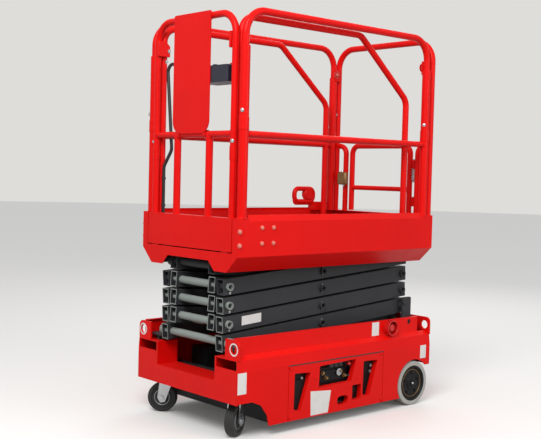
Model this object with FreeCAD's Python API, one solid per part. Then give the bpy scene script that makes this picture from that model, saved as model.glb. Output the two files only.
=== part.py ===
import FreeCAD, Part
import math
import os
from FreeCAD import Vector

# Mini self-propelled scissor lift, millimetres.
# X points forward to the caster and control end, Y to the machine's left, Z up, ground at z = 0.

os.makedirs("parts", exist_ok=True)

# Fits and gaps
running_fit = 0.05        # radial play of a pin in its bore
seat_gap = 0.3            # between faces of pieces that slide or turn on each other
panel_gap = 3.0           # round a cover panel

# Chassis tub
chassis_front = 670.0
chassis_rear = -655.0
chassis_half_width = 380.0
chassis_sheet = 4.0
bumper_plate = 6.0
skirt_bottom = 50.0
skirt_top = 311.0
shoulder_inset = 6.0
shoulder_drop = 18.0          # below the ledge
ledge_height = 379.0
ledge_width = 35.0
upper_wall_height = 77.0
upper_flange = 16.0
upper_wall_rear_stop = 66.0   # from the rear wall's face to the wall's rear end
bumper_bottom = 166.0
bumper_top_drop = 15.0        # below the ledge
notch_half_width = 220.0
notch_bottom = 254.0
notch_depth = 119.0
pocket_outer_inset = 9.0      # from the skirt
pocket_wall = 9.0             # from the notch
pocket_top_drop = 4.0
pocket_height = 42.0
caster_deck_top = 232.0
caster_deck_plate = 10.0
well_inset = 96.0             # from the skirt to the wheel well's wall
well_margin = 19.0            # from the drive tyre to the well's front
well_roof_gap = 20.0
arch_gap = 10.0
arch_rear_drop = 47.0         # below the well's roof
tie_down_plate = 10.0         # lugs across the ends of the upper walls
tie_down_seat = 2.0           # of the front lugs on the bumper's top edge
tie_down_bore = 44.0
tie_down_over_ledge = 30.0
tie_down_under_top = 6.0      # lug below the upper wall's top
tie_down_inner_inset = 94.0   # from the skirt
tie_down_hole_inset = 34.0
tie_down_corner = 26.0
lifting_hole_radius = 13.0    # in the upper walls
lifting_hole_inset = 133.0
lifting_hole_drop = 22.0
step_half_width = 150.0
step_openings = ((112.0, 192.0), (244.0, 324.0))   # low z, high z
step_tread_depth = 60.0

# Cover panels in the skirts
cover_rear = -289.0
cover_front = 363.0
cover_bottom = 50.0
cover_top_drop = 3.0          # below the skirt's top
cover_flange = 14.0
cover_lap = 6.0               # seat behind the cover's edge
cover_hole_corner = 6.0
cover_slot_half = 40.0        # round-ended hand slot
cover_slot_bottom = 79.0
cover_slot_top = 124.0
cover_slot_flat = 0.5

# Running gear
drive_wheel_inset = 125.0     # from the rear wall
drive_wheel_side_inset = 45.0
drive_wheel_radius = 115.0
drive_wheel_width = 80.0
drive_tyre_depth = 23.0
drive_shaft_radius = 17.5
drive_shaft_tip = 12.0
motor_ground_gap = 59.0
motor_inner_y = 120.0
motor_saddle_half = 44.0
motor_saddle_inset = 10.0     # from the motor's inner end
motor_saddle_drop = 20.0      # below the axle
tray_overhang = 16.0          # of the side trays' blocks behind the wheel well's wall
tray_end_gap = 18.0           # from the covers' ends
battery_skirt_gap = 12.0
battery_top_gap = 19.0
pump_inset = 68.0             # from the skirt
pump_height = 76.0            # above the floor
pump_rear = -120.0
pump_front = 60.0
pump_radius = 46.0
pump_foot_inset = 10.0
pump_foot_half = 22.0
manifold_half = 37.0
tank_rear = 210.0
tank_skirt_gap = 20.0
tank_height = 176.0
caster_inset = 110.0          # from the bumper's face
caster_side_inset = 118.0
caster_trail = 36.0
caster_radius = 72.0
caster_tread = 45.0
caster_boss_wall = 12.0       # round the axle
caster_tyre_depth = 18.0
bulkhead_gap = 48.0           # from the front casters' pivot to the bulkhead, less the wheel
caster_turn = {"left": 25.0, "right": -48.0}
caster_fork_plate = 6.0
caster_fork_gap = 4.0
caster_axle_radius = 8.0
caster_plate_side = 104.0
caster_plate_thickness = 8.0
caster_head_radius = 38.0
caster_head_height = 14.0
caster_crown = (-34.0, 40.0)  # low x, high x from the swivel

# Scissor stack
stages = 4
rear_pin_inset = 70.0
front_pin_inset = 64.0
base_pin_over_ledge = 36.0
stage_pitch = 85.5
arm_width = 48.0
arm_stack_gap = 12.0          # between one stage's arms and the next
arm_wall = 4.0
arm_overrun = 32.0
arm_plane_gap = 14.0          # between an inner and an outer arm
pin_radius = 15.0
boss_radius = 18.5
boss_reach = 14.0
boss_clearance = 7.0
pin_recess = 1.5
pin_hollow_radius = 11.0      # bore in a pin's outer end
pin_hollow_depth = 22.0
cross_tube_radius = 18.0
collar_radius = 21.0
roller_radius = 25.0
roller_width = 26.0
roller_gap = 5.0
roller_pin_tip = 4.0

# Lift cylinder between the inner arm frames
barrel_from_front = 83.0
barrel_below = 17.0
rod_along = 120.0
rod_above = 17.0
barrel_radius = 42.0
barrel_bore = 34.0
barrel_start = 62.0
barrel_end_space = 190.0      # from the barrel's mouth to the rod's pin at rest
gland_length = 26.0
gland_rim = 5.0
tail_radius = 20.0
rod_radius = 22.0
piston_length = 30.0
piston_start = 110.0
cylinder_pin_radius = 15.0
cylinder_eye_radius = 28.0
cylinder_eye_width = 44.0
eye_side_gap = 3.5

# Tracks, brackets and shaft on the chassis
track_wall = 5.0
track_front_inset = 32.0
track_rear = 205.0
track_margin = 6.0
bracket_plate = 12.0
bracket_front_reach = 23.0
bracket_rear_reach = 45.0
bracket_toe = 30.0
bracket_rise = 133.0          # above the base pins
bracket_gap = 29.0            # over the drive motors
bracket_shaft_tip = 4.0

# Platform
platform_rear_overhang = 15.0
platform_inset = 21.0         # from the skirt's plane
platform_sheet = 4.0
fold_over_deck = 5.0
toe_board_height = 172.0
toe_board_flange = 22.0
toe_band_drop = 14.0          # band leaning in along the toe board's top: its foot
toe_band_rise = 14.0
toe_band_lean = 11.5
toe_band_sheet = 4.5
toe_band_end = 5.0            # clear of the posts and the lock
sill_flange_depth = 36.0
bevel_run = 74.0
bevel_rise = 72.0
beam_flange = 33.0
deck_over_pins = 53.0
main_deck_plate = 6.0
apron_notch_run = 87.0
apron_notch_slope = 43.0
apron_notch_rise = 44.0
apron_lip = 15.0
wear_pad_depth = 26.0
platform_bracket_plate = 10.0
platform_track_rear = 215.0

# Guard rails
rail_height = 930.0           # above the toe board
rail_radius = 17.0
sleeve_radius = 22.0
sleeve_drop = 177.0
rail_bend = 108.0
mid_rail_rise = 370.0         # above the toe board
mid_rail_radius = 15.0
side_rail_inset = 21.0
side_rail_front_inset = 38.0
side_rail_rear_inset = 62.0
rear_rail_inset = 18.0
stub_width = 76.0
stub_rise = 381.0
stub_bend = 45.0

# Extension deck
extension_over_deck = 30.0
extension_floor_plate = 4.0
extension_rear_inset = 110.0
extension_travel = 600.0
extension_side_gap = 47.0
runner_width = 45.0
runner_wall = 4.0
tread_sheet = 1.5
tread_margin = 50.0
extension_front_overlap = 4.0
extension_front_lip = 5.0
extension_front_drop = 2.0    # below the toe board's top
inner_rail_side_inset = 22.0
inner_rail_radius = 16.0
inner_rail_drop = 25.0
inner_rail_break_x = -150.0
inner_rail_low_inset = 53.0
inner_rail_low_drop = 312.0
inner_rail_bend = 70.0
inner_post_gap = 0.5          # behind the front frame's post
front_frame_inset = 22.0
front_frame_bend = 95.0
front_frame_drop = 11.0
baluster_y = 120.0
baluster_radius = 17.0
control_plate_half = 136.0
control_plate_thickness = 5.0
control_plate_corner = 60.0
control_plate_top_corner = 8.0
control_plate_over = 4.0
control_plate_rise = 3.0      # above the middle rail's axis
control_box_width = 218.0
control_box_gap = 12.0        # from the left front post
control_box_drop = 254.0      # below the guard rails' top
control_box_height = 77.0
control_box_depth = 95.0
control_box_corner = 9.0
cable_radius = 8.0
lead_gap = 2.0                # from the front frame's tubes
lead_exit_drop = 20.0         # below the control box's top
lead_exit_run = 60.0
lead_arch_inset = 40.0        # from the right posts
lead_arch_rise = 45.0         # above the control box
lead_sag_inset = 87.0
lead_sag_drop = 70.0          # below the middle rail
lead_post_drop = 150.0        # below the middle rail, where it turns down
lead_bend = 36.0

# Extension lock on the right toe board
lock_rear_inset = 110.0       # from the platform's rear
lock_length = 108.0
lock_width = 44.0
lock_height = 46.0
lock_handle_radius = 6.5
lock_handle_reach = 134.0     # in front of the block
lock_handle_rise = 121.0      # above the toe board
lock_handle_foot = 34.0
lock_handle_back = 14.0
lock_handle_bend = 20.0

# Entry gate
gate_rise = 4.0               # above the toe board
gate_bar_rise = 128.0
gate_hinge_rises = (50.0, 250.0)
gate_hinge_gap = 26.0
hinge_length = 36.0
hinge_lug = 12.0
hinge_radius = 8.0
hinge_pin_radius = 4.0
hinge_leaf = 8.0
gate_reach_gap = 35.0
gate_rail_radius = 15.0
gate_bend = 45.0

# Places that follow from the sizes
upper_wall_y = chassis_half_width - ledge_width
upper_wall_top = ledge_height + upper_wall_height
upper_wall_front = chassis_front - bumper_plate - tie_down_plate + tie_down_seat
upper_wall_rear = chassis_rear + upper_wall_rear_stop
shoulder_y = chassis_half_width - shoulder_inset
shoulder_z = ledge_height - shoulder_drop
bumper_top = ledge_height - bumper_top_drop
pocket_inner_y = notch_half_width + pocket_wall
pocket_outer_y = chassis_half_width - pocket_outer_inset
pocket_top = bumper_top - pocket_top_drop
pocket_bottom = pocket_top - pocket_height
tie_down_z = ledge_height + tie_down_over_ledge
tie_down_y = chassis_half_width - tie_down_hole_inset
tie_down_inner_y = chassis_half_width - tie_down_inner_inset
tie_down_top = upper_wall_top - tie_down_under_top
cover_top = skirt_top - cover_top_drop

drive_wheel_x = chassis_rear + drive_wheel_inset
drive_wheel_y = chassis_half_width - drive_wheel_side_inset
drive_rim_radius = drive_wheel_radius - drive_tyre_depth
motor_radius = drive_wheel_radius - motor_ground_gap
well_wall_y = chassis_half_width - well_inset
well_front_x = drive_wheel_x + drive_wheel_radius + well_margin
well_roof = 2 * drive_wheel_radius + well_roof_gap
arch_rear_z = well_roof - arch_rear_drop
caster_x = chassis_front - caster_inset
caster_y = chassis_half_width - caster_side_inset
front_bulkhead_x = caster_x - caster_radius - bulkhead_gap

rear_pin_x = chassis_rear + rear_pin_inset
front_pin_x = chassis_front - front_pin_inset
base_pin_z = ledge_height + base_pin_over_ledge
arm_length = math.hypot(front_pin_x - rear_pin_x, stage_pitch)
arm_angle = math.degrees(math.asin(stage_pitch / arm_length))
arm_height = stage_pitch - arm_stack_gap
barrel_along = arm_length - barrel_from_front

platform_front = chassis_front
platform_rear = chassis_rear - platform_rear_overhang
platform_half_width = chassis_half_width - platform_inset
main_deck_bottom = base_pin_z + stages * stage_pitch + deck_over_pins
platform_fold_z = main_deck_bottom + fold_over_deck
toe_board_top = platform_fold_z + toe_board_height
bevel_foot_y = platform_half_width - bevel_run
bevel_foot_z = platform_fold_z - bevel_rise
beam_inner_y = bevel_foot_y - beam_flange
apron_notch_foot_y = bevel_foot_y - apron_notch_run
apron_notch_top_y = apron_notch_foot_y - apron_notch_slope
apron_notch_z = bevel_foot_z + apron_notch_rise
apron_top = platform_fold_z + apron_lip

boss_face_y = beam_inner_y - boss_clearance
outer_arm_y = boss_face_y - boss_reach - arm_width
inner_arm_y = outer_arm_y - arm_plane_gap - arm_width
plane_middle = (inner_arm_y + arm_width + outer_arm_y) / 2
bracket_y = beam_inner_y
bracket_front = rear_pin_x + bracket_front_reach
bracket_rear = rear_pin_x - bracket_rear_reach
bracket_bottom = drive_wheel_radius + motor_radius + bracket_gap
bracket_top = base_pin_z + bracket_rise
track_front = chassis_front - track_front_inset
track_width = roller_width + track_margin

rail_top = toe_board_top + rail_height
mid_rail_z = toe_board_top + mid_rail_rise
sleeve_top = rail_top - sleeve_drop
side_rail_y = platform_half_width - side_rail_inset
side_rail_front_x = platform_front - side_rail_front_inset
side_rail_rear_x = platform_rear + side_rail_rear_inset
rear_rail_x = platform_rear + rear_rail_inset
stub_inner_y = side_rail_y - stub_width
stub_top = toe_board_top + stub_rise

extension_floor_top = main_deck_bottom + extension_over_deck
extension_rear = platform_rear + extension_rear_inset
extension_half_width = platform_half_width - extension_side_gap
runner_outer_y = bevel_foot_y
runner_inner_y = runner_outer_y - runner_width
extension_front_bottom = extension_floor_top - extension_front_lip
extension_front_top = toe_board_top - extension_front_drop
extension_front_half = extension_half_width + extension_front_overlap
inner_rail_y = extension_half_width - inner_rail_side_inset
inner_rail_top = rail_top - inner_rail_drop
inner_rail_low_x = extension_rear + inner_rail_low_inset
inner_rail_low_z = inner_rail_top - inner_rail_low_drop
front_frame_x = platform_front - front_frame_inset
front_frame_top = rail_top - front_frame_drop
control_plate_bottom = mid_rail_z + control_plate_rise
control_plate_top = front_frame_top + control_plate_over
control_box_top = rail_top - control_box_drop
control_box_left = inner_rail_y - inner_rail_radius - control_box_gap
control_box_right = control_box_left - control_box_width

gate_hinge_y = stub_inner_y - gate_hinge_gap
gate_reach_y = gate_reach_gap - stub_inner_y
gate_top = stub_top
gate_bottom = toe_board_top + gate_rise
gate_bar_z = gate_bottom + gate_bar_rise
hinge_heights = tuple(gate_bottom + rise for rise in gate_hinge_rises)


def block(x, y, z):
    """Box from (low, high) pairs."""
    corner = Vector(min(x), min(y), min(z))
    return Part.makeBox(abs(x[1] - x[0]), abs(y[1] - y[0]), abs(z[1] - z[0]), corner)


def bar(start, end, radius):
    start = Vector(*start)
    end = Vector(*end)
    return Part.makeCylinder(radius, (end - start).Length, start, end - start)


def cross_bar(x, z, low_y, high_y, radius):
    return bar((x, low_y, z), (x, high_y, z), radius)


def fuse(shapes):
    shapes = list(shapes)
    whole = shapes[0]
    if len(shapes) > 1:
        whole = whole.fuse(shapes[1:])
    return whole.removeSplitter()


def cut(shape, tools):
    return shape.cut(list(tools))


def mirrored(shape):
    return shape.mirror(Vector(0, 0, 0), Vector(0, 1, 0))


def on_side(shape, side):
    return shape if side == "left" else mirrored(shape)


def rounded_wire(corners, closed):
    """Wire through (Vector, bend radius) corners, straight runs joined by tangent arcs."""
    count = len(corners)
    stops = []
    for index, (point, radius) in enumerate(corners):
        at_end = not closed and index in (0, count - 1)
        if radius == 0 or at_end:
            stops.append((point, None, point))
            continue
        back = (corners[index - 1][0] - point).normalize()
        onward = (corners[(index + 1) % count][0] - point).normalize()
        half = back.getAngle(onward) / 2
        inward = (back + onward).normalize()
        trim = radius / math.tan(half)
        centre = point + inward * (radius / math.sin(half))
        stops.append((point + back * trim, centre - inward * radius, point + onward * trim))
    edges = []
    for index, (first, middle, last) in enumerate(stops):
        if middle is not None:
            edges.append(Part.Arc(first, middle, last).toShape())
        if closed or index < count - 1:
            following = stops[(index + 1) % count][0]
            if (following - last).Length > 1e-6:
                edges.append(Part.makeLine(last, following))
    return Part.Wire(edges)


def in_plane(axis, place, across, up):
    """Point at `place` on the axis, with the other two coordinates in order."""
    if axis == "x":
        return Vector(place, across, up)
    if axis == "y":
        return Vector(across, place, up)
    return Vector(across, up, place)


def prism(points, axis, low, high):
    """Outline of (across, up[, corner radius]) points, extruded along an axis."""
    corners = [(in_plane(axis, low, p[0], p[1]), p[2] if len(p) > 2 else 0) for p in points]
    face = Part.Face(rounded_wire(corners, True))
    return face.extrude(in_plane(axis, high - low, 0, 0))


def folded_sheet(points, thickness, axis, low, high):
    """Sheet of constant thickness whose outer face follows the points, metal to their left."""
    inner = []
    count = len(points)
    for index, point in enumerate(points):
        normals = []
        for first, last in ((index - 1, index), (index, index + 1)):
            if first >= 0 and last < count:
                run = (points[last][0] - points[first][0], points[last][1] - points[first][1])
                size = math.hypot(*run)
                normals.append((-run[1] / size, run[0] / size))
        if len(normals) == 1:
            offset = normals[0]
        else:
            dot = normals[0][0] * normals[1][0] + normals[0][1] * normals[1][1]
            offset = ((normals[0][0] + normals[1][0]) / (1 + dot),
                      (normals[0][1] + normals[1][1]) / (1 + dot))
        inner.append((point[0] + offset[0] * thickness, point[1] + offset[1] * thickness))
    return prism(list(points) + inner[::-1], axis, low, high)


def bent_tube(points, radius, bend):
    """Round tube along corners (x, y, z), every bend with the same radius."""
    corners = [(Vector(*point), bend) for point in points]
    path = rounded_wire(corners, False)
    start = corners[0][0]
    ring = Part.Wire(Part.makeCircle(radius, start, corners[1][0] - start))
    return path.makePipeShell([ring], True, False, 1)


def turned(points, centre, direction):
    """Solid of revolution from (along, radius[, corner radius]) points about a line through centre."""
    corners = [(Vector(p[1], 0, p[0]), p[2] if len(p) > 2 else 0) for p in points]
    face = Part.Face(rounded_wire(corners, True))
    solid = face.revolve(Vector(0, 0, 0), Vector(0, 0, 1), 360)
    turn = FreeCAD.Rotation(Vector(0, 0, 1), Vector(*direction))
    solid.Placement = FreeCAD.Placement(Vector(*centre), turn)
    return solid


def save(name, shape):
    solids = shape.Solids
    if not solids or not shape.isValid() or shape.Volume <= 0:
        raise ValueError("bad shape: " + name)
    shape = solids[0] if len(solids) == 1 else Part.makeCompound(solids)
    shape.exportStep(os.path.join("parts", name + ".step"))
    print(name, len(solids), round(shape.Volume / 1000), "cm3")


# Chassis panels

wheel_arch = cross_bar(drive_wheel_x, drive_wheel_radius, well_wall_y, chassis_half_width + 1,
                       drive_wheel_radius + arch_gap)
# Cut-out over the caster: distance in front of its swivel, height
caster_arch_outline = ((-82.0, 49.0), (-71.0, 98.0), (-32.0, 149.0), (20.0, 171.0))
caster_arch = prism([(caster_x + forward, z) for forward, z in caster_arch_outline]
                    + [(chassis_front + 1, caster_arch_outline[-1][1]),
                       (chassis_front + 1, caster_arch_outline[0][1])],
                    "y", well_wall_y, chassis_half_width + 1)
rear_cutaway = block((chassis_rear - 1, drive_wheel_x), (well_wall_y, chassis_half_width + 1),
                     (skirt_bottom - 1, arch_rear_z))


def side_shell():
    shell = folded_sheet(((chassis_half_width, skirt_bottom),
                          (chassis_half_width, skirt_top),
                          (shoulder_y, shoulder_z),
                          (upper_wall_y, ledge_height),
                          (upper_wall_y, upper_wall_top),
                          (upper_wall_y - upper_flange, upper_wall_top)),
                         chassis_sheet, "x", chassis_rear, chassis_front - bumper_plate)
    back_y = chassis_half_width - chassis_sheet
    opening = block((cover_rear, cover_front), (back_y - 1, chassis_half_width + 1),
                    (skirt_bottom - 1, cover_top))
    front_step = block((upper_wall_front, chassis_front), (0, chassis_half_width),
                       (bumper_top, upper_wall_top + 1))
    rear_step = block((chassis_rear - 1, upper_wall_rear), (0, upper_wall_y + 1),
                      (ledge_height, upper_wall_top + 1))
    lifting_hole = cross_bar(chassis_rear + lifting_hole_inset, upper_wall_top - lifting_hole_drop,
                             0, chassis_half_width, lifting_hole_radius)
    shell = cut(shell, [opening, front_step, rear_step, lifting_hole, wheel_arch, caster_arch, rear_cutaway])
    frame_y = (back_y - chassis_sheet, back_y)
    seat = block((cover_rear - cover_lap, cover_front + cover_lap), frame_y,
                 (skirt_bottom + chassis_sheet, cover_top + chassis_sheet / 2))
    seat = cut(seat, [block((cover_rear + cover_flange, cover_front - cover_flange),
                            (frame_y[0] - 1, frame_y[1] + 1),
                            (skirt_bottom + cover_flange, cover_top - cover_flange))])
    return fuse([shell, seat])


def cover_panel():
    outer = chassis_half_width
    panel = block((cover_rear + panel_gap, cover_front - panel_gap),
                  (outer - chassis_sheet + seat_gap, outer),
                  (cover_bottom, cover_top - panel_gap))
    slot_corner = (cover_slot_top - cover_slot_bottom) / 2 - cover_slot_flat
    slot = ((-cover_slot_half, cover_slot_bottom), (cover_slot_half, cover_slot_bottom),
            (cover_slot_half, cover_slot_top), (-cover_slot_half, cover_slot_top))
    holes = [(cover_hole_corner, hole) for hole in cover_holes] + [(slot_corner, slot)]
    cuts = [prism([(x, z, corner) for x, z in corners], "y", outer - 2 * chassis_sheet, outer + 1)
            for corner, corners in holes]
    return cut(panel, cuts)


# Corners (x, z) of each hole
cover_holes = (
    ((324, 270), (220, 264), (283, 87), (327, 98)),
    ((-143, 276), (-247, 272), (-190, 96), (-139, 105)),
    ((163, 285), (-90, 292), (-59, 184), (167, 182)),
    ((-129, 90), (-65, 90), (-65, 166), (-129, 166)),
)
for side in ("left", "right"):
    save("side_shell_" + side, on_side(side_shell(), side))
save("side_covers", Part.makeCompound([cover_panel(), mirrored(cover_panel())]))

inside_y = chassis_half_width - chassis_sheet
bumper_back = chassis_front - bumper_plate
rear_inside = chassis_rear + chassis_sheet

half_bumper = ((chassis_half_width, bumper_bottom), (chassis_half_width, skirt_top),
               (shoulder_y, bumper_top), (notch_half_width, bumper_top), (notch_half_width, notch_bottom))
bumper = prism(half_bumper + tuple((-y, z) for y, z in half_bumper[::-1]), "x", bumper_back, chassis_front)
hand_holes = [block((bumper_back - 1, chassis_front + 1), (side * pocket_inner_y, side * pocket_outer_y),
                    (pocket_bottom, pocket_top)) for side in (-1, 1)]
bumper = cut(bumper, hand_holes)
ledge_back = chassis_front - notch_depth
shelf_y = upper_wall_y - chassis_sheet - seat_gap
tray_outer_y = notch_half_width + chassis_sheet
tray = [block((ledge_back, bumper_back), (-notch_half_width, notch_half_width),
              (notch_bottom - chassis_sheet, notch_bottom))]
for side in (-1, 1):
    tray.append(block((ledge_back, bumper_back), (side * notch_half_width, side * tray_outer_y),
                      (notch_bottom - chassis_sheet, bumper_top)))


def tie_down_lug(low_x, foot):
    """Lug plate on the left side, from its lower edge (y, z) round to its rounded outer corner."""
    outline = tuple(foot) + ((chassis_half_width, tie_down_top, tie_down_corner),
                             (tie_down_inner_y, tie_down_top))
    plate = prism(outline, "x", low_x, low_x + tie_down_plate)
    hole = bar((low_x - 1, tie_down_y, tie_down_z), (low_x + tie_down_plate + 1, tie_down_y, tie_down_z),
               tie_down_bore / 2)
    return cut(plate, [hole])


front_lug = tie_down_lug(upper_wall_front, ((tie_down_inner_y, bumper_top), (chassis_half_width, bumper_top)))
corner_shelf = block((ledge_back, bumper_back), (tray_outer_y, shelf_y),
                     (bumper_top - chassis_sheet, bumper_top))
front_corner = fuse([corner_shelf, front_lug])
save("front_bumper", bumper)
save("notch_tray", fuse(tray))
save("front_corners", Part.makeCompound([front_corner, mirrored(front_corner)]))

floor = prism(((rear_inside, -well_wall_y), (well_front_x, -well_wall_y), (well_front_x, -inside_y),
               (front_bulkhead_x, -inside_y), (front_bulkhead_x, inside_y), (well_front_x, inside_y),
               (well_front_x, well_wall_y), (rear_inside, well_wall_y)),
              "z", skirt_bottom, skirt_bottom + chassis_sheet)
save("floor_pan", floor)

bulkhead = block((front_bulkhead_x, front_bulkhead_x + chassis_sheet), (-inside_y, inside_y),
                 (skirt_bottom, caster_deck_top))
save("front_bulkhead", bulkhead)
caster_deck = block((front_bulkhead_x + chassis_sheet, bumper_back), (-inside_y, inside_y),
                    (caster_deck_top - caster_deck_plate, caster_deck_top))
swivel_holes = [bar((caster_x, side * caster_y, 0), (caster_x, side * caster_y, caster_deck_top + 1),
                    pin_radius + running_fit) for side in (-1, 1)]
webs = [block((ledge_back, ledge_back + chassis_sheet), (-notch_half_width, notch_half_width),
              (caster_deck_top, notch_bottom - chassis_sheet))]
swivel_plates = [block((caster_x - caster_plate_side / 2, caster_x + caster_plate_side / 2),
                       (side * (caster_y - caster_plate_side / 2), side * (caster_y + caster_plate_side / 2)),
                       (caster_deck_top - caster_deck_plate - caster_plate_thickness,
                        caster_deck_top - caster_deck_plate)) for side in (-1, 1)]
save("caster_deck", cut(fuse([caster_deck] + webs + swivel_plates), swivel_holes))

rear_wall = block((chassis_rear, rear_inside), (-well_wall_y, well_wall_y), (skirt_bottom, well_roof))
rear_upper = block((chassis_rear, rear_inside), (-inside_y, inside_y),
                   (arch_rear_z, skirt_top - chassis_sheet))
wall_inside_y = upper_wall_y - chassis_sheet
rear_top = block((chassis_rear, rear_inside), (-wall_inside_y, wall_inside_y),
                 (skirt_top - chassis_sheet, tie_down_top))
steps = [block((chassis_rear - 1, rear_inside + 1), (-step_half_width, step_half_width), opening)
         for opening in step_openings]
treads = [block((rear_inside, rear_inside + step_tread_depth), (-step_half_width, step_half_width),
                (low - chassis_sheet, low)) for low, high in step_openings]
rear_foot = ((tie_down_inner_y, ledge_height), (upper_wall_y, ledge_height),
             (shoulder_y, shoulder_z), (chassis_half_width, shoulder_z))
rear_lug = tie_down_lug(chassis_rear, rear_foot)
rear_holes = [bar((chassis_rear - 1, side * tie_down_y, tie_down_z),
                  (rear_inside + 1, side * tie_down_y, tie_down_z), tie_down_bore / 2) for side in (-1, 1)]
rear_plate = cut(fuse([rear_wall, rear_upper, rear_top]), steps + rear_holes)
save("rear_wall", fuse([rear_plate, rear_lug, mirrored(rear_lug)] + treads))

wells = []
for side in ("left", "right"):
    well = fuse([
        block((rear_inside, well_front_x), (well_wall_y, well_wall_y + chassis_sheet),
              (skirt_bottom, well_roof)),
        block((rear_inside, well_front_x + chassis_sheet), (well_wall_y, inside_y),
              (well_roof, well_roof + chassis_sheet)),
        block((well_front_x, well_front_x + chassis_sheet), (well_wall_y, inside_y),
              (skirt_bottom + chassis_sheet, well_roof)),
    ])
    shaft_hole = cross_bar(drive_wheel_x, drive_wheel_radius, 0, chassis_half_width,
                           drive_shaft_radius + 6)
    wells.append(on_side(cut(well, [shaft_hole]), side))
save("wheel_wells", Part.makeCompound(wells))

track_top = base_pin_z - roller_radius - seat_gap
track_inner = outer_arm_y + arm_width + roller_gap
track_foot = bumper_top + seat_gap
tracks = []
for side in (-1, 1):
    ledge = block((track_rear, track_front), (side * track_inner, side * (track_inner + track_width)),
                  (track_top - track_wall, track_top))
    web = block((track_rear, track_front),
                (side * (track_inner + track_width - track_wall), side * (track_inner + track_width)),
                (track_foot, track_top))
    arm = block((track_rear, track_front),
                (side * (track_inner + track_width), side * shelf_y),
                (track_top - track_wall, track_top))
    tracks.append(fuse([ledge, web, arm]))
save("roller_tracks", Part.makeCompound(tracks))

# Brackets for the rear base pins, joined to the rear wall below its top
bracket_step = upper_wall_top - upper_flange
brackets = [prism(((rear_inside, bracket_bottom), (bracket_front - bracket_toe, bracket_bottom),
                   (bracket_front, bracket_bottom + 2 * bracket_toe), (bracket_front, bracket_top, 8),
                   (bracket_rear, bracket_top, 8), (bracket_rear, bracket_step), (rear_inside, bracket_step)),
                  "y", side * bracket_y, side * (bracket_y + bracket_plate)) for side in (-1, 1)]
shaft_end = bracket_y + bracket_plate + bracket_shaft_tip
shaft = cross_bar(rear_pin_x, base_pin_z, -shaft_end, shaft_end, pin_radius)
save("scissor_mount", fuse(brackets + [shaft]))

# Power and drive blocks, set in from the skirts
floor_top = skirt_bottom + chassis_sheet
tray_inner_y = well_wall_y - tray_overhang
battery = block((cover_rear + tray_end_gap, cover_front - tray_end_gap),
                (tray_inner_y, chassis_half_width - battery_skirt_gap),
                (floor_top, skirt_top - battery_top_gap))
save("battery_pack", mirrored(battery))
pump_y = chassis_half_width - pump_inset
pump_z = floor_top + pump_height
tank = block((tank_rear, cover_front - tray_end_gap), (tray_inner_y, chassis_half_width - tank_skirt_gap),
             (floor_top, floor_top + tank_height))
pump_motor = bar((pump_rear, pump_y, pump_z), (pump_front, pump_y, pump_z), pump_radius)
manifold = block((pump_front, tank_rear), (pump_y - manifold_half, pump_y + manifold_half),
                 (pump_z - pump_radius, pump_z + pump_radius))
foot = block((pump_rear + pump_foot_inset, pump_front + pump_foot_inset),
             (pump_y - pump_foot_half, pump_y + pump_foot_half), (floor_top, pump_z - pump_radius / 2))
save("hydraulic_unit", fuse([tank, pump_motor, manifold, foot]))

wheel_inner_y = drive_wheel_y - drive_wheel_width / 2
motors = []
for side in ("left", "right"):
    motor = bar((drive_wheel_x, motor_inner_y, drive_wheel_radius),
                (drive_wheel_x, well_wall_y, drive_wheel_radius), motor_radius)
    saddle = block((drive_wheel_x - motor_saddle_half, drive_wheel_x + motor_saddle_half),
                   (motor_inner_y + motor_saddle_inset, well_wall_y),
                   (floor_top, drive_wheel_radius - motor_saddle_drop))
    axle = bar((drive_wheel_x, well_wall_y, drive_wheel_radius),
               (drive_wheel_x, wheel_inner_y + drive_wheel_width - drive_shaft_tip, drive_wheel_radius),
               drive_shaft_radius)
    motors.append(on_side(fuse([motor, saddle, axle]), side))
save("drive_motors", Part.makeCompound(motors))

# Emergency stop in its guard ring on the left upper wall
stop_x = -362.0
guard_radius = 38.5
guard_wall = 5.0
guard_depth = 33.0
stop_base = 4.0
stop_centre = (stop_x, upper_wall_y, upper_wall_top - guard_radius + seat_gap)
guard = turned(((0, 0), (0, guard_radius), (guard_depth, guard_radius, 2),
                (guard_depth, guard_radius - guard_wall, 2), (stop_base, guard_radius - guard_wall),
                (stop_base, 0)), stop_centre, (0, 1, 0))
mushroom = turned(((stop_base, 0), (stop_base, 11), (16, 11), (16, 20, 2), (26, 20, 8), (29, 0)),
                  stop_centre, (0, 1, 0))
save("emergency_stop", fuse([guard, mushroom]))

# Drive wheels

tyre_half = drive_wheel_width / 2
bead = 6.0
hub_boss_radius = 30.0
hub_dish = 9.0
for side, sign in (("left", 1), ("right", -1)):
    centre = (drive_wheel_x, sign * drive_wheel_y, drive_wheel_radius)
    outward = (0, sign, 0)
    tyre = turned(((-tyre_half, drive_rim_radius), (tyre_half, drive_rim_radius),
                   (tyre_half, drive_wheel_radius, 7), (-tyre_half, drive_wheel_radius, 7)),
                  centre, outward)
    save("drive_tyre_" + side, tyre)
    bore = drive_shaft_radius + running_fit
    hub = turned(((-tyre_half + bead, bore), (tyre_half - drive_shaft_tip + 2, bore),
                  (tyre_half - drive_shaft_tip + 2, 0), (tyre_half - 3, 0),
                  (tyre_half - 3, hub_boss_radius), (tyre_half - hub_dish, hub_boss_radius + 10, 4),
                  (tyre_half - hub_dish, drive_rim_radius - 16),
                  (tyre_half - 1, drive_rim_radius - 10), (tyre_half - 1, drive_rim_radius),
                  (-tyre_half + bead, drive_rim_radius)),
                 centre, outward)
    save("drive_hub_" + side, hub)

# Casters

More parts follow.
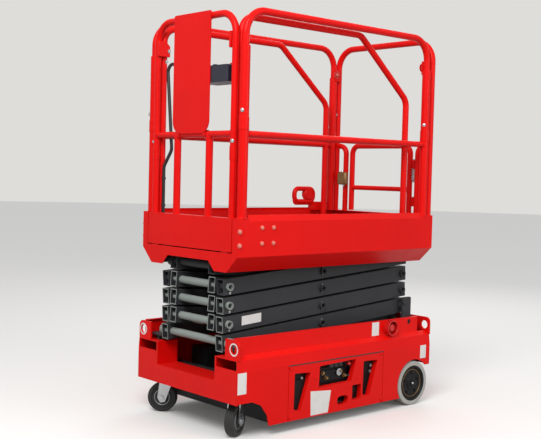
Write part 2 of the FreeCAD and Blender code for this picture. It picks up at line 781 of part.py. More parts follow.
for side, sign in (("left", 1), ("right", -1)):
    swivel = Vector(caster_x, sign * caster_y, 0)
    deck_under = caster_deck_top - caster_deck_plate
    half_tread = caster_tread / 2
    boss = caster_axle_radius + caster_boss_wall
    rim = caster_radius - caster_tyre_depth
    cheek_in = half_tread + caster_fork_gap
    cheek_out = cheek_in + caster_fork_plate
    crown_top = deck_under - caster_plate_thickness - seat_gap
    crown_bottom = crown_top - caster_head_height
    head = Part.makeCylinder(caster_head_radius, crown_top - crown_bottom, Vector(0, 0, crown_bottom))
    stem = Part.makeCylinder(pin_radius, caster_deck_top + 6 - crown_top, Vector(0, 0, crown_top))
    bridge = block(caster_crown, (-cheek_out, cheek_out), (crown_bottom - caster_fork_plate, crown_bottom))
    cheeks = [prism(((caster_crown[0], crown_bottom), (caster_crown[1], crown_bottom),
                     (caster_trail + 20, caster_radius, 14),
                     (caster_trail + 6, caster_radius - 24, 12), (caster_trail - 18, caster_radius - 20, 12)),
                    "y", low, low + caster_fork_plate) for low in (cheek_in, -cheek_out)]
    axle = cross_bar(caster_trail, caster_radius, -cheek_out - 5, cheek_out + 5, caster_axle_radius)
    fork = fuse([head, stem, bridge, axle] + cheeks)
    wheel = turned(((-half_tread, caster_axle_radius + running_fit),
                    (half_tread, caster_axle_radius + running_fit), (half_tread, boss),
                    (half_tread - 6, boss + 4), (half_tread - 6, rim - 4), (half_tread, rim),
                    (half_tread, caster_radius, 9), (-half_tread, caster_radius, 9), (-half_tread, rim),
                    (-half_tread + 6, rim - 4), (-half_tread + 6, boss + 4), (-half_tread, boss)),
                   (caster_trail, 0, caster_radius), (0, 1, 0))
    for name, shape in (("caster_fork_", fork), ("caster_wheel_", wheel)):
        piece = shape.copy()
        piece.rotate(Vector(0, 0, 0), Vector(0, 0, 1), caster_turn[side])
        piece.translate(swivel)
        save(name + side, piece)

# Scissor arms, drawn level along X from the rear pin and then tilted into place


def tilted(shape, angle, rear_z):
    shape = shape.copy()
    shape.rotate(Vector(0, 0, 0), Vector(0, 1, 0), -angle)
    shape.translate(Vector(rear_pin_x, 0, rear_z))
    return shape


def rectangular_arm(y_low, y_high):
    half = arm_height / 2
    along = (-arm_overrun, arm_length + arm_overrun)
    skin = block(along, (y_low, y_high), (-half, half))
    hollow = block((along[0] - 1, along[1] + 1), (y_low + arm_wall, y_high - arm_wall),
                   (-half + arm_wall, half - arm_wall))
    return cut(skin, [hollow])


def both_sides(shape):
    return [shape, mirrored(shape)]


def sleeve(along, y_low, y_high):
    return cross_bar(along, 0, y_low, y_high, boss_radius)


inner_face = plane_middle - seat_gap / 2
outer_face = plane_middle + seat_gap / 2
pin_tip = boss_face_y - pin_recess
half_span = arm_length / 2
hollow_start = pin_tip - pin_hollow_depth
inner_out = inner_arm_y + arm_width
outer_out = outer_arm_y + arm_width


def hollow_ends(frame, places):
    """Bore the outer ends of the pins at the given places along the arm."""
    for along in places:
        frame = cut(frame, both_sides(cross_bar(along, 0, hollow_start, boss_face_y + 1, pin_hollow_radius)))
    return frame


def inner_frame(stage):
    top = stage == stages
    pieces = []
    pieces += both_sides(rectangular_arm(inner_arm_y, inner_out))
    for along in (0, half_span, arm_length):
        pieces += both_sides(sleeve(along, inner_arm_y, inner_face))
    frame = fuse(pieces)
    bore = pin_radius + running_fit
    frame = cut(frame, both_sides(cross_bar(0, 0, inner_arm_y - 1, inner_face + 1, bore)))
    additions = both_sides(cross_bar(half_span, 0, inner_arm_y, pin_tip, pin_radius))
    hollows = [half_span]
    if top:
        roller_in = outer_arm_y
        additions += both_sides(cross_bar(arm_length, 0, inner_arm_y,
                                          roller_in + roller_width + roller_pin_tip, pin_radius))
        additions += both_sides(cross_bar(arm_length, 0, roller_in, roller_in + roller_width, roller_radius))
    else:
        additions += both_sides(cross_bar(arm_length, 0, inner_arm_y, pin_tip, pin_radius))
        hollows.append(arm_length)
    additions.append(cross_bar(arm_length, 0, -inner_arm_y, inner_arm_y, cross_tube_radius))
    if stage == 1:
        additions += barrel_mount()
    if stage == 3:
        additions += rod_mount()
    return hollow_ends(fuse([frame] + additions), hollows)


def outer_frame(stage):
    base = stage == 1
    pieces = both_sides(rectangular_arm(outer_arm_y, outer_out))
    for along in (0, half_span, arm_length):
        pieces += both_sides(sleeve(along, outer_face, boss_face_y))
    frame = fuse(pieces)
    bore = pin_radius + running_fit
    bored = [half_span] if base else [half_span, arm_length]
    for along in bored:
        frame = cut(frame, both_sides(cross_bar(along, 0, outer_face - 1, boss_face_y + 1, bore)))
    recess = both_sides(cross_bar(0, 0, pin_tip, boss_face_y + 1, pin_radius))
    frame = cut(frame, recess)
    additions = [cross_bar(0, 0, -pin_tip, pin_tip, pin_radius),
                 cross_bar(0, 0, -inner_arm_y + 1, inner_arm_y - 1, cross_tube_radius)]
    if base:
        roller_in = outer_out + roller_gap
        additions.append(cross_bar(arm_length, 0, -outer_arm_y, outer_arm_y, cross_tube_radius))
        additions += both_sides(cross_bar(arm_length, 0, outer_arm_y,
                                          roller_in + roller_width + roller_pin_tip, pin_radius))
        additions += both_sides(cross_bar(arm_length, 0, roller_in, roller_in + roller_width, roller_radius))
    return hollow_ends(fuse([frame] + additions), [0])


stub_face = cylinder_eye_width / 2 + eye_side_gap


def barrel_mount():
    """Pin and collars between the first inner arms that carry the barrel's eye."""
    collars = both_sides(bar((barrel_along, stub_face, -barrel_below),
                             (barrel_along, inner_arm_y, -barrel_below), collar_radius))
    pin = bar((barrel_along, -inner_arm_y, -barrel_below), (barrel_along, inner_arm_y, -barrel_below),
              cylinder_pin_radius)
    return collars + [pin]


def rod_mount():
    """Collars between the third inner arms, with the rod's eye running free between their ends."""
    return both_sides(bar((rod_along, stub_face, rod_above), (rod_along, inner_arm_y, rod_above),
                          collar_radius))


def arm_point(angle, rear_z, along, above):
    tilt = math.radians(angle)
    return Vector(rear_pin_x + along * math.cos(tilt) - above * math.sin(tilt), 0,
                  rear_z + along * math.sin(tilt) + above * math.cos(tilt))


for stage in range(1, stages + 1):
    low_z = base_pin_z + (stage - 1) * stage_pitch
    save("inner_arms_%d" % stage, tilted(inner_frame(stage), arm_angle, low_z))
    save("outer_arms_%d" % stage, tilted(outer_frame(stage), -arm_angle, low_z + stage_pitch))

# Lift cylinder from the first inner frame's front up to the third inner frame's rear

barrel_pin = arm_point(arm_angle, base_pin_z, barrel_along, -barrel_below)
rod_pin = arm_point(arm_angle, base_pin_z + 2 * stage_pitch, rod_along, rod_above)
span = rod_pin - barrel_pin
reach = span.Length
tilt_down = math.degrees(math.atan2(span.z, -span.x))
print("cylinder from", barrel_pin, "to", rod_pin, "length", round(reach, 2))


def along_cylinder(shape):
    """Shape drawn along -X from the origin, tilted to the cylinder's line."""
    shape = shape.copy()
    shape.rotate(Vector(0, 0, 0), Vector(0, 1, 0), tilt_down)
    shape.translate(barrel_pin)
    return shape


half_eye = cylinder_eye_width / 2
barrel_end = reach - barrel_end_space
bore_start = barrel_start + gland_length
eye = cross_bar(0, 0, -half_eye, half_eye, cylinder_eye_radius)
tail = bar((-cylinder_eye_radius + 8, 0, 0), (-barrel_start - 8, 0, 0), tail_radius)
tube = bar((-barrel_start, 0, 0), (-barrel_end, 0, 0), barrel_radius)
gland = bar((-barrel_end + gland_length, 0, 0), (-barrel_end, 0, 0), barrel_radius + gland_rim)
chamber = bar((-bore_start, 0, 0), (-barrel_end + gland_length, 0, 0), barrel_bore)
gland_bore = bar((-barrel_end + gland_length + 1, 0, 0), (-barrel_end - 1, 0, 0), rod_radius + running_fit)
pin_bore = cross_bar(0, 0, -half_eye - 1, half_eye + 1, cylinder_pin_radius + running_fit)
barrel = cut(fuse([eye, tail, tube, gland]), [chamber, gland_bore, pin_bore])
save("cylinder_barrel", along_cylinder(barrel))

rod = bar((-reach + cylinder_eye_radius - 8, 0, 0), (-piston_start, 0, 0), rod_radius)
piston = bar((-piston_start, 0, 0), (-piston_start - piston_length, 0, 0), barrel_bore - running_fit)
rod_eye = cross_bar(-reach, 0, -half_eye, half_eye, cylinder_eye_radius)
rod_tip = half_eye + eye_side_gap - seat_gap
rod_stub = cross_bar(-reach, 0, -rod_tip, rod_tip, cylinder_pin_radius)
save("cylinder_rod", along_cylinder(fuse([rod, piston, rod_eye, rod_stub])))

# Platform

# The deck plate lies on the beams' webs, between the insides of their bevels
bevel_rise = platform_fold_z - bevel_foot_z
bevel_run = platform_half_width - bevel_foot_y
bevel_sheet = platform_sheet * math.hypot(bevel_rise, bevel_run) / bevel_rise
deck_y = (platform_half_width - (platform_fold_z - main_deck_bottom) * bevel_run / bevel_rise
          - bevel_sheet - seat_gap)
return_inner_y = extension_front_half + 5


def side_beam(band_rear):
    profile = ((platform_half_width - toe_board_flange, toe_board_top),
               (platform_half_width, toe_board_top),
               (platform_half_width, platform_fold_z),
               (bevel_foot_y, bevel_foot_z),
               (beam_inner_y, bevel_foot_z),
               (beam_inner_y, main_deck_bottom))
    beam = folded_sheet(profile[::-1], platform_sheet, "x", platform_rear + platform_sheet,
                        platform_front - platform_sheet)
    returns = [block((x, x + step), (return_inner_y, platform_half_width),
                     (platform_fold_z, toe_board_top))
               for x, step in ((platform_front, -platform_sheet), (platform_rear, platform_sheet))]
    foot = (platform_half_width, toe_board_top - toe_band_drop)
    head = (platform_half_width - toe_band_lean, toe_board_top + toe_band_rise)
    band_front = side_rail_front_x - sleeve_radius - toe_band_end
    band = prism((foot, head, (head[0] - toe_band_sheet, head[1]), (foot[0] - toe_band_sheet, foot[1])),
                 "x", band_rear, band_front)
    trimmed = prism((foot, (foot[0] + 1, foot[1]), (foot[0] + 1, head[1]), head), "x", band_rear, band_front)
    return cut(fuse([beam, band] + returns), [trimmed])


lock_rear = platform_rear + lock_rear_inset
lock_front = lock_rear + lock_length
for side, band_rear in (("left", side_rail_rear_x + sleeve_radius + toe_band_end),
                        ("right", lock_front + toe_band_end)):
    save("platform_side_" + side, on_side(side_beam(band_rear), side))

deck = block((platform_rear + platform_sheet, platform_front - platform_sheet), (-deck_y, deck_y),
             (main_deck_bottom, main_deck_bottom + main_deck_plate))
roller_top = base_pin_z + stages * stage_pitch + roller_radius + seat_gap
hangers = []
for side in (-1, 1):
    flange = block((platform_track_rear, platform_front - 20),
                   (side * (outer_arm_y - 4), side * (outer_arm_y + roller_width + 10)),
                   (roller_top, roller_top + 5))
    web = block((platform_track_rear, platform_front - 20),
                (side * (outer_arm_y + roller_width + 6), side * (outer_arm_y + roller_width + 10)),
                (roller_top - 30, main_deck_bottom))
    hangers.append(flange)
    hangers.append(web)
save("deck_plate", deck)

pin_top_z = base_pin_z + stages * stage_pitch
lugs = []
for side in (-1, 1):
    for low in (inner_arm_y, inner_out - platform_bracket_plate):
        lug = prism(((rear_pin_x - 30, main_deck_bottom), (rear_pin_x - 30, pin_top_z - 28, 24),
                     (rear_pin_x + 30, pin_top_z - 28, 24), (rear_pin_x + 30, main_deck_bottom)),
                    "y", side * low, side * (low + platform_bracket_plate))
        lugs.append(cut(lug, [cross_bar(rear_pin_x, pin_top_z, -boss_face_y, boss_face_y,
                                        pin_radius + running_fit)]))
save("deck_underframe", Part.makeCompound([fuse(hangers[:2]), fuse(hangers[2:])] + lugs))

half_apron = ((apron_notch_top_y, apron_notch_z), (apron_notch_foot_y, bevel_foot_z),
              (bevel_foot_y, bevel_foot_z), (platform_half_width, platform_fold_z),
              (return_inner_y, platform_fold_z), (return_inner_y, apron_top))
apron = prism(half_apron + tuple((-y, z) for y, z in half_apron[::-1]),
              "x", platform_front - platform_sheet, platform_front)
wear_pads = [block((platform_front - platform_sheet - wear_pad_depth, platform_front - platform_sheet),
                   (side * runner_inner_y, side * runner_outer_y),
                   (main_deck_bottom + main_deck_plate,
                    extension_floor_top - extension_floor_plate - seat_gap)) for side in (-1, 1)]
save("front_apron", fuse([apron] + wear_pads))

# Fixed guard rails: two side frames and the rear frame with its stubs

rail_axis_top = rail_top - rail_radius
for side, sign in (("left", 1), ("right", -1)):
    y = sign * side_rail_y
    hoop = bent_tube(((side_rail_front_x, y, toe_board_top), (side_rail_front_x, y, rail_axis_top),
                      (side_rail_rear_x, y, rail_axis_top), (side_rail_rear_x, y, toe_board_top)),
                     rail_radius, rail_bend)
    middle = bar((side_rail_front_x, y, mid_rail_z), (side_rail_rear_x, y, mid_rail_z), mid_rail_radius)
    posts = [bar((x, y, toe_board_top), (x, y, sleeve_top), sleeve_radius)
             for x in (side_rail_front_x, side_rail_rear_x)]
    save("side_rail_" + side, fuse([hoop, middle] + posts))

rear_hoop = bent_tube(((rear_rail_x, side_rail_y, toe_board_top),
                       (rear_rail_x, side_rail_y, rail_axis_top),
                       (rear_rail_x, -side_rail_y, rail_axis_top),
                       (rear_rail_x, -side_rail_y, toe_board_top)), rail_radius, rail_bend)
stub_axis = stub_top - mid_rail_radius
stubs = []
for sign in (1, -1):
    stubs.append(bent_tube(((rear_rail_x, sign * side_rail_y, stub_axis),
                            (rear_rail_x, sign * stub_inner_y, stub_axis),
                            (rear_rail_x, sign * stub_inner_y, toe_board_top)), mid_rail_radius, stub_bend))
sill_y = return_inner_y - seat_gap
sill = block((platform_rear, platform_rear + platform_sheet),
             (-sill_y, sill_y), (main_deck_bottom, toe_board_top))
sill_flange = block((platform_rear, platform_rear + sill_flange_depth), (-sill_y, sill_y),
                    (toe_board_top - platform_sheet, toe_board_top))
save("rear_sill", fuse([sill, sill_flange]))
hinge_leaf_x = (rear_rail_x - hinge_leaf / 2, rear_rail_x + hinge_leaf / 2)
hinge_lugs = []
for z in hinge_heights:
    hinge_lugs.append(bar((rear_rail_x, gate_hinge_y, z - hinge_lug), (rear_rail_x, gate_hinge_y, z),
                          hinge_radius))
    hinge_lugs.append(block(hinge_leaf_x, (gate_hinge_y, stub_inner_y), (z - hinge_lug, z)))
    hinge_lugs.append(bar((rear_rail_x, gate_hinge_y, z), (rear_rail_x, gate_hinge_y, z + hinge_length),
                          hinge_pin_radius))
save("rear_rail", fuse([rear_hoop] + stubs + hinge_lugs))

# Extension deck

floor_low = extension_floor_top - extension_floor_plate
front_panel_x = platform_front - platform_sheet
extension_floor = block((extension_rear, front_panel_x), (-extension_half_width, extension_half_width),
                        (floor_low, extension_floor_top))
runners = []
runner_bottom = main_deck_bottom + main_deck_plate + seat_gap
runner_front = front_panel_x - wear_pad_depth - extension_travel - 10
for side in (-1, 1):
    rail = block((extension_rear, runner_front), (side * runner_inner_y, side * runner_outer_y),
                 (runner_bottom, floor_low))
    hollow = block((extension_rear - 1, runner_front + 1),
                   (side * (runner_inner_y + runner_wall), side * (runner_outer_y - runner_wall)),
                   (runner_bottom + runner_wall, floor_low - runner_wall))
    runners.append(cut(rail, [hollow]))
tread = block((inner_rail_low_x + tread_margin, front_frame_x - tread_margin),
              (tread_margin - extension_half_width, extension_half_width - tread_margin),
              (extension_floor_top, extension_floor_top + tread_sheet))
save("extension_deck", fuse([extension_floor, tread] + runners))
front_panel = block((front_panel_x, platform_front), (-extension_front_half, extension_front_half),
                    (extension_front_bottom, extension_front_top))
panel_flange = block((front_panel_x - 30, front_panel_x), (-extension_front_half, extension_front_half),
                     (extension_front_top - platform_sheet, extension_front_top))
post_holes = [bar((front_frame_x, y, extension_floor_top), (front_frame_x, y, extension_front_top + 1),
                  radius + seat_gap)
              for y, radius in ((inner_rail_y, inner_rail_radius), (-inner_rail_y, inner_rail_radius),
                                (baluster_y, baluster_radius), (-baluster_y, baluster_radius))]
save("extension_front", fuse([front_panel, cut(panel_flange, post_holes)]))

frame_axis_top = front_frame_top - inner_rail_radius
front_hoop = bent_tube(((front_frame_x, inner_rail_y, extension_floor_top),
                        (front_frame_x, inner_rail_y, frame_axis_top),
                        (front_frame_x, -inner_rail_y, frame_axis_top),
                        (front_frame_x, -inner_rail_y, extension_floor_top)),
                       inner_rail_radius, front_frame_bend)
front_middle = bar((front_frame_x, -inner_rail_y, mid_rail_z), (front_frame_x, inner_rail_y, mid_rail_z),
                   mid_rail_radius)
balusters = [bar((front_frame_x, sign * baluster_y, extension_floor_top),
                 (front_frame_x, sign * baluster_y, mid_rail_z), baluster_radius) for sign in (1, -1)]
save("front_rail", fuse([front_hoop, front_middle] + balusters))

inner_axis_top = inner_rail_top - inner_rail_radius
inner_post_x = front_frame_x - 2 * inner_rail_radius - inner_post_gap
for side, sign in (("left", 1), ("right", -1)):
    y = sign * inner_rail_y
    rail = bent_tube(((inner_post_x, y, extension_floor_top), (inner_post_x, y, inner_axis_top),
                      (inner_rail_break_x, y, inner_axis_top), (inner_rail_low_x, y, inner_rail_low_z),
                      (inner_rail_low_x, y, extension_floor_top)), inner_rail_radius, inner_rail_bend)
    middle = bar((inner_post_x, y, mid_rail_z), (inner_rail_low_x, y, mid_rail_z), mid_rail_radius)
    save("inner_rail_" + side, fuse([rail, middle]))

control_plate = prism(((-control_plate_half, control_plate_bottom, control_plate_corner),
                       (control_plate_half, control_plate_bottom, control_plate_corner),
                       (control_plate_half, control_plate_top, control_plate_top_corner),
                       (-control_plate_half, control_plate_top, control_plate_top_corner)),
                      "x", front_frame_x + inner_rail_radius,
                      front_frame_x + inner_rail_radius + control_plate_thickness)
save("control_plate", control_plate)
control_box_bottom = control_box_top - control_box_height
control_box = prism(((control_box_right, control_box_bottom, control_box_corner),
                     (control_box_left, control_box_bottom, control_box_corner),
                     (control_box_left, control_box_top, control_box_corner),
                     (control_box_right, control_box_top, control_box_corner)),
                    "x", front_frame_x - control_box_depth, front_frame_x + inner_rail_radius)
save("control_box", control_box)

# Lead from the control box to the right front posts and down beside them to the floor
lead_x = front_frame_x - inner_rail_radius - cable_radius - lead_gap
lead_post_y = inner_rail_y - inner_rail_radius - cable_radius - lead_gap
lead_exit_z = control_box_top - lead_exit_drop
lead = bent_tube(((lead_x, control_box_right, lead_exit_z),
                  (lead_x, control_box_right - lead_exit_run, lead_exit_z),
                  (lead_x, lead_arch_inset - inner_rail_y, control_box_top + lead_arch_rise),
                  (lead_x, lead_sag_inset - inner_rail_y, mid_rail_z - lead_sag_drop),
                  (lead_x, -lead_post_y, mid_rail_z - lead_post_drop),
                  (lead_x, -lead_post_y, extension_floor_top)), cable_radius, lead_bend)
save("control_lead", lead)

# Block and handle of the extension's lock, on the right toe board
lock_y = lock_width / 2 - platform_half_width
lock_top = toe_board_top + lock_height
lock_block = block((lock_rear, lock_front), (-platform_half_width, lock_width - platform_half_width),
                   (toe_board_top, lock_top))
handle_high = toe_board_top + lock_handle_rise
handle_low = toe_board_top + lock_handle_foot
handle_front = lock_front + lock_handle_reach
handle_rear = lock_front - lock_handle_back
lock_handle = bent_tube(((handle_rear, lock_y, lock_top - 6), (handle_rear, lock_y, handle_high),
                         (handle_front, lock_y, handle_high), (handle_front, lock_y, handle_low),
                         (lock_front - 6, lock_y, handle_low)), lock_handle_radius, lock_handle_bend)
save("extension_lock", fuse([lock_block, lock_handle]))

# Entry gate at the rear

gate_near = gate_hinge_y - gate_hinge_gap
gate_far = gate_reach_y + gate_rail_radius
gate_axis_top = gate_top - gate_rail_radius
gate_leaf = bent_tube(((rear_rail_x, gate_near, gate_bottom), (rear_rail_x, gate_near, gate_axis_top),
                       (rear_rail_x, gate_far, gate_axis_top), (rear_rail_x, gate_far, gate_bottom)),
                      gate_rail_radius, gate_bend)
gate_bar = bar((rear_rail_x, gate_near, gate_bar_z), (rear_rail_x, gate_far, gate_bar_z),
               gate_rail_radius - 2)
knuckles = []
bores = []
for z in hinge_heights:
    low = z + seat_gap
    knuckles.append(bar((rear_rail_x, gate_hinge_y, low), (rear_rail_x, gate_hinge_y, z + hinge_length),
                        hinge_radius))
    knuckles.append(block(hinge_leaf_x, (gate_near, gate_hinge_y), (low, z + hinge_length)))
    bores.append(bar((rear_rail_x, gate_hinge_y, z - 1), (rear_rail_x, gate_hinge_y, z + hinge_length + 1),
                     hinge_pin_radius + running_fit))
save("entry_gate", cut(fuse([gate_leaf, gate_bar] + knuckles), bores))
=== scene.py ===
import bpy
import bmesh
import math
from mathutils import Matrix, Vector


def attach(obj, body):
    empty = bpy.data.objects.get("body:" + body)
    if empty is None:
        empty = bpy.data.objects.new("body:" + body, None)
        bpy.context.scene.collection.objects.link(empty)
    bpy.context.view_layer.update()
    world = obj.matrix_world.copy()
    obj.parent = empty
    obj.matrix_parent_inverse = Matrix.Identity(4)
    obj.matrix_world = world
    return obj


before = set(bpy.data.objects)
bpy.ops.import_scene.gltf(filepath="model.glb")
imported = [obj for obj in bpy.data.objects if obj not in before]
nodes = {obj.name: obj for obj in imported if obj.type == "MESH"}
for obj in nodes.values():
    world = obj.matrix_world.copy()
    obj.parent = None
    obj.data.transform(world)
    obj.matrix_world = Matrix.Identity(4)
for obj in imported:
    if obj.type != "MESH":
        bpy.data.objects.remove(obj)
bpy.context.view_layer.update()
mm = 0.001
print("frame loaded:", len(nodes), "nodes")


def linear(hexColour):
    channels = [int(hexColour[i:i + 2], 16) / 255 for i in (0, 2, 4)]
    return [c / 12.92 if c <= 0.04045 else ((c + 0.055) / 1.055) ** 2.4 for c in channels] + [1.0]


def addNode(tree, kind, inputs=None, **settings):
    node = tree.nodes.new(kind)
    for name, value in settings.items():
        setattr(node, name, value)
    for name, value in (inputs or {}).items():
        if isinstance(value, bpy.types.NodeSocket):
            tree.links.new(value, node.inputs[name])
        else:
            node.inputs[name].default_value = value
    return node


# Camera at the photograph's angle; the place and turns come from fitting the machine's straight edges

cameraSettings = {
    "place": (3.3675, 3.5577, 1.1849),
    "yaw": 227.93,
    "pitch": -2.72,
    "roll": 1.45,
    "focalPixels": 963.91,
    "imageWidth": 541,
    "sensor": 36.0,
}


def makeCamera(settings):
    yaw = math.radians(settings["yaw"])
    pitch = math.radians(settings["pitch"])
    roll = math.radians(settings["roll"])
    forward = Vector((math.cos(pitch) * math.cos(yaw), math.cos(pitch) * math.sin(yaw), math.sin(pitch)))
    right = Vector((math.sin(yaw), -math.cos(yaw), 0))
    up = right.cross(forward)
    tiltedRight = math.cos(roll) * right + math.sin(roll) * up
    tiltedUp = math.cos(roll) * up - math.sin(roll) * right
    data = bpy.data.cameras.new("photoCamera")
    data.sensor_width = settings["sensor"]
    data.lens = settings["focalPixels"] / settings["imageWidth"] * settings["sensor"]
    camera = bpy.data.objects.new("photoCamera", data)
    bpy.context.scene.collection.objects.link(camera)
    turn = Matrix((tiltedRight, tiltedUp, -forward)).transposed()
    camera.matrix_world = Matrix.Translation(settings["place"]) @ turn.to_4x4()
    bpy.context.scene.camera = camera


makeCamera(cameraSettings)

# Soft studio light and a pale floor

studioSettings = {
    "floor": "E6E4E0",
    "floorBounce": "A09C94",
    "floorGlow": 0.06,
    "floorRoughness": 0.9,
    "floorRadius": 30.0,
    "background": "DEDDDA",
    "sky": "F4F6FA",
    "ambient": 0.76,
    "aim": (0, 0, 0.9),
    # name, place, size, watts
    "lamps": (
        ("keyLamp", (3.3, 2.2, 4.0), 2.4, 182),
        ("sideLamp", (-1.2, 4.6, 2.2), 2.4, 54),
        ("backLamp", (-4.0, -2.4, 3.6), 2.6, 42),
    ),
}


def seenRays(tree):
    # 1 for what the camera sees straight, mirrored or through glass
    path = addNode(tree, "ShaderNodeLightPath")
    mirrored = addNode(tree, "ShaderNodeMath", {0: path.outputs["Is Glossy Ray"],
                                                1: path.outputs["Is Transmission Ray"]}, operation="MAXIMUM")
    return addNode(tree, "ShaderNodeMath", {0: path.outputs["Is Camera Ray"], 1: mirrored.outputs[0]},
                   operation="MAXIMUM").outputs[0]


def makeStudio(settings):
    world = bpy.data.worlds.new("studio")
    bpy.context.scene.world = world
    world.use_nodes = True
    tree = world.node_tree
    tree.nodes.clear()
    dim = addNode(tree, "ShaderNodeBackground", {"Color": linear(settings["sky"]),
                                                 "Strength": settings["ambient"]})
    bright = addNode(tree, "ShaderNodeBackground", {"Color": linear(settings["background"]), "Strength": 1.0})
    mix = addNode(tree, "ShaderNodeMixShader", {0: seenRays(tree), 1: dim.outputs[0], 2: bright.outputs[0]})
    addNode(tree, "ShaderNodeOutputWorld", {"Surface": mix.outputs[0]})
    mesh = bpy.data.meshes.new("studioFloor")
    build = bmesh.new()
    bmesh.ops.create_circle(build, cap_ends=True, segments=96, radius=settings["floorRadius"])
    build.to_mesh(mesh)
    build.free()
    floor = bpy.data.objects.new("studioFloor", mesh)
    bpy.context.scene.collection.objects.link(floor)
    paint = bpy.data.materials.new("paleFloor")
    paint.use_nodes = True
    floorTree = paint.node_tree
    shader = floorTree.nodes["Principled BSDF"]
    seen = seenRays(floorTree)
    tone = addNode(floorTree, "ShaderNodeMix", {0: seen, 6: linear(settings["floorBounce"]),
                                                7: linear(settings["floor"])}, data_type="RGBA")
    floorTree.links.new(tone.outputs[2], shader.inputs["Base Color"])
    glow = addNode(floorTree, "ShaderNodeMath", {0: seen, 1: settings["floorGlow"]}, operation="MULTIPLY")
    floorTree.links.new(glow.outputs[0], shader.inputs["Emission Strength"])
    shader.inputs["Emission Color"].default_value = linear(settings["floor"])
    shader.inputs["Roughness"].default_value = settings["floorRoughness"]
    shader.inputs["Specular IOR Level"].default_value = 0.0
    mesh.materials.append(paint)
    for name, place, size, watts in settings["lamps"]:
        data = bpy.data.lights.new(name, "AREA")
        data.shape = "DISK"
        data.size = size
        data.energy = watts
        lamp = bpy.data.objects.new(name, data)
        lamp.location = place
        aim = Vector(settings["aim"]) - Vector(place)
        lamp.rotation_mode = "QUATERNION"
        lamp.rotation_quaternion = aim.to_track_quat("-Z", "Y")
        bpy.context.scene.collection.objects.link(lamp)


makeStudio(studioSettings)
bpy.context.scene.view_settings.view_transform = "Standard"
print("camera and studio made")

# Materials


def newMaterial(name, rough, metal=0.0):
    material = bpy.data.materials.new(name)
    material.use_nodes = True
    tree = material.node_tree
    shader = tree.nodes["Principled BSDF"]
    shader.inputs["Roughness"].default_value = rough
    shader.inputs["Metallic"].default_value = metal
    place = addNode(tree, "ShaderNodeTexCoord").outputs["Object"]
    return material, tree, shader, place


def perMetre(sizeMm):
    return 1000 / sizeMm


paintSettings = {
    # name: light tone, dark tone, dust tone, roughness low and high, peel strength, dust share
    "redPowderCoat": ("E20C08", "CE0906", "C9604E", 0.30, 0.44, 0.10, 0.03),
    "darkGreyPowderCoat": ("393A3D", "2E2F32", "77736D", 0.40, 0.56, 0.14, 0.12),
    "greyGreenEnamel": ("8E9691", "747C78", "A8A59A", 0.36, 0.52, 0.10, 0.12),
    "blackEnamel": ("141517", "0D0E0F", "504C46", 0.32, 0.50, 0.12, 0.10),
    # the bolts are red enamel; their pale pink tone paints the highlight on the small heads
    "boltEnamelPaintedHighlight": ("E58C7C", "C9665A", "C98F7E", 0.30, 0.42, 0.05, 0.03),
}
paintPatterns = {
    # across, in mm; real peel is about 1 mm across, drawn at 3 mm so that it shows
    "clouds": 210,
    "grit": 34,
    "wiped": 60,
    "peel": 3,
    "peelDepth": 0.4,
    # a pressed or sawn edge is a little round, which catches a line of light
    "edge": 1.2,
    # share of the paint's dust on faces that hang and on faces that lie
    "dust": (0.25, 2.2),
    "specular": 0.11,
    "coat": 0.04,
    "coatRoughness": 0.20,
}


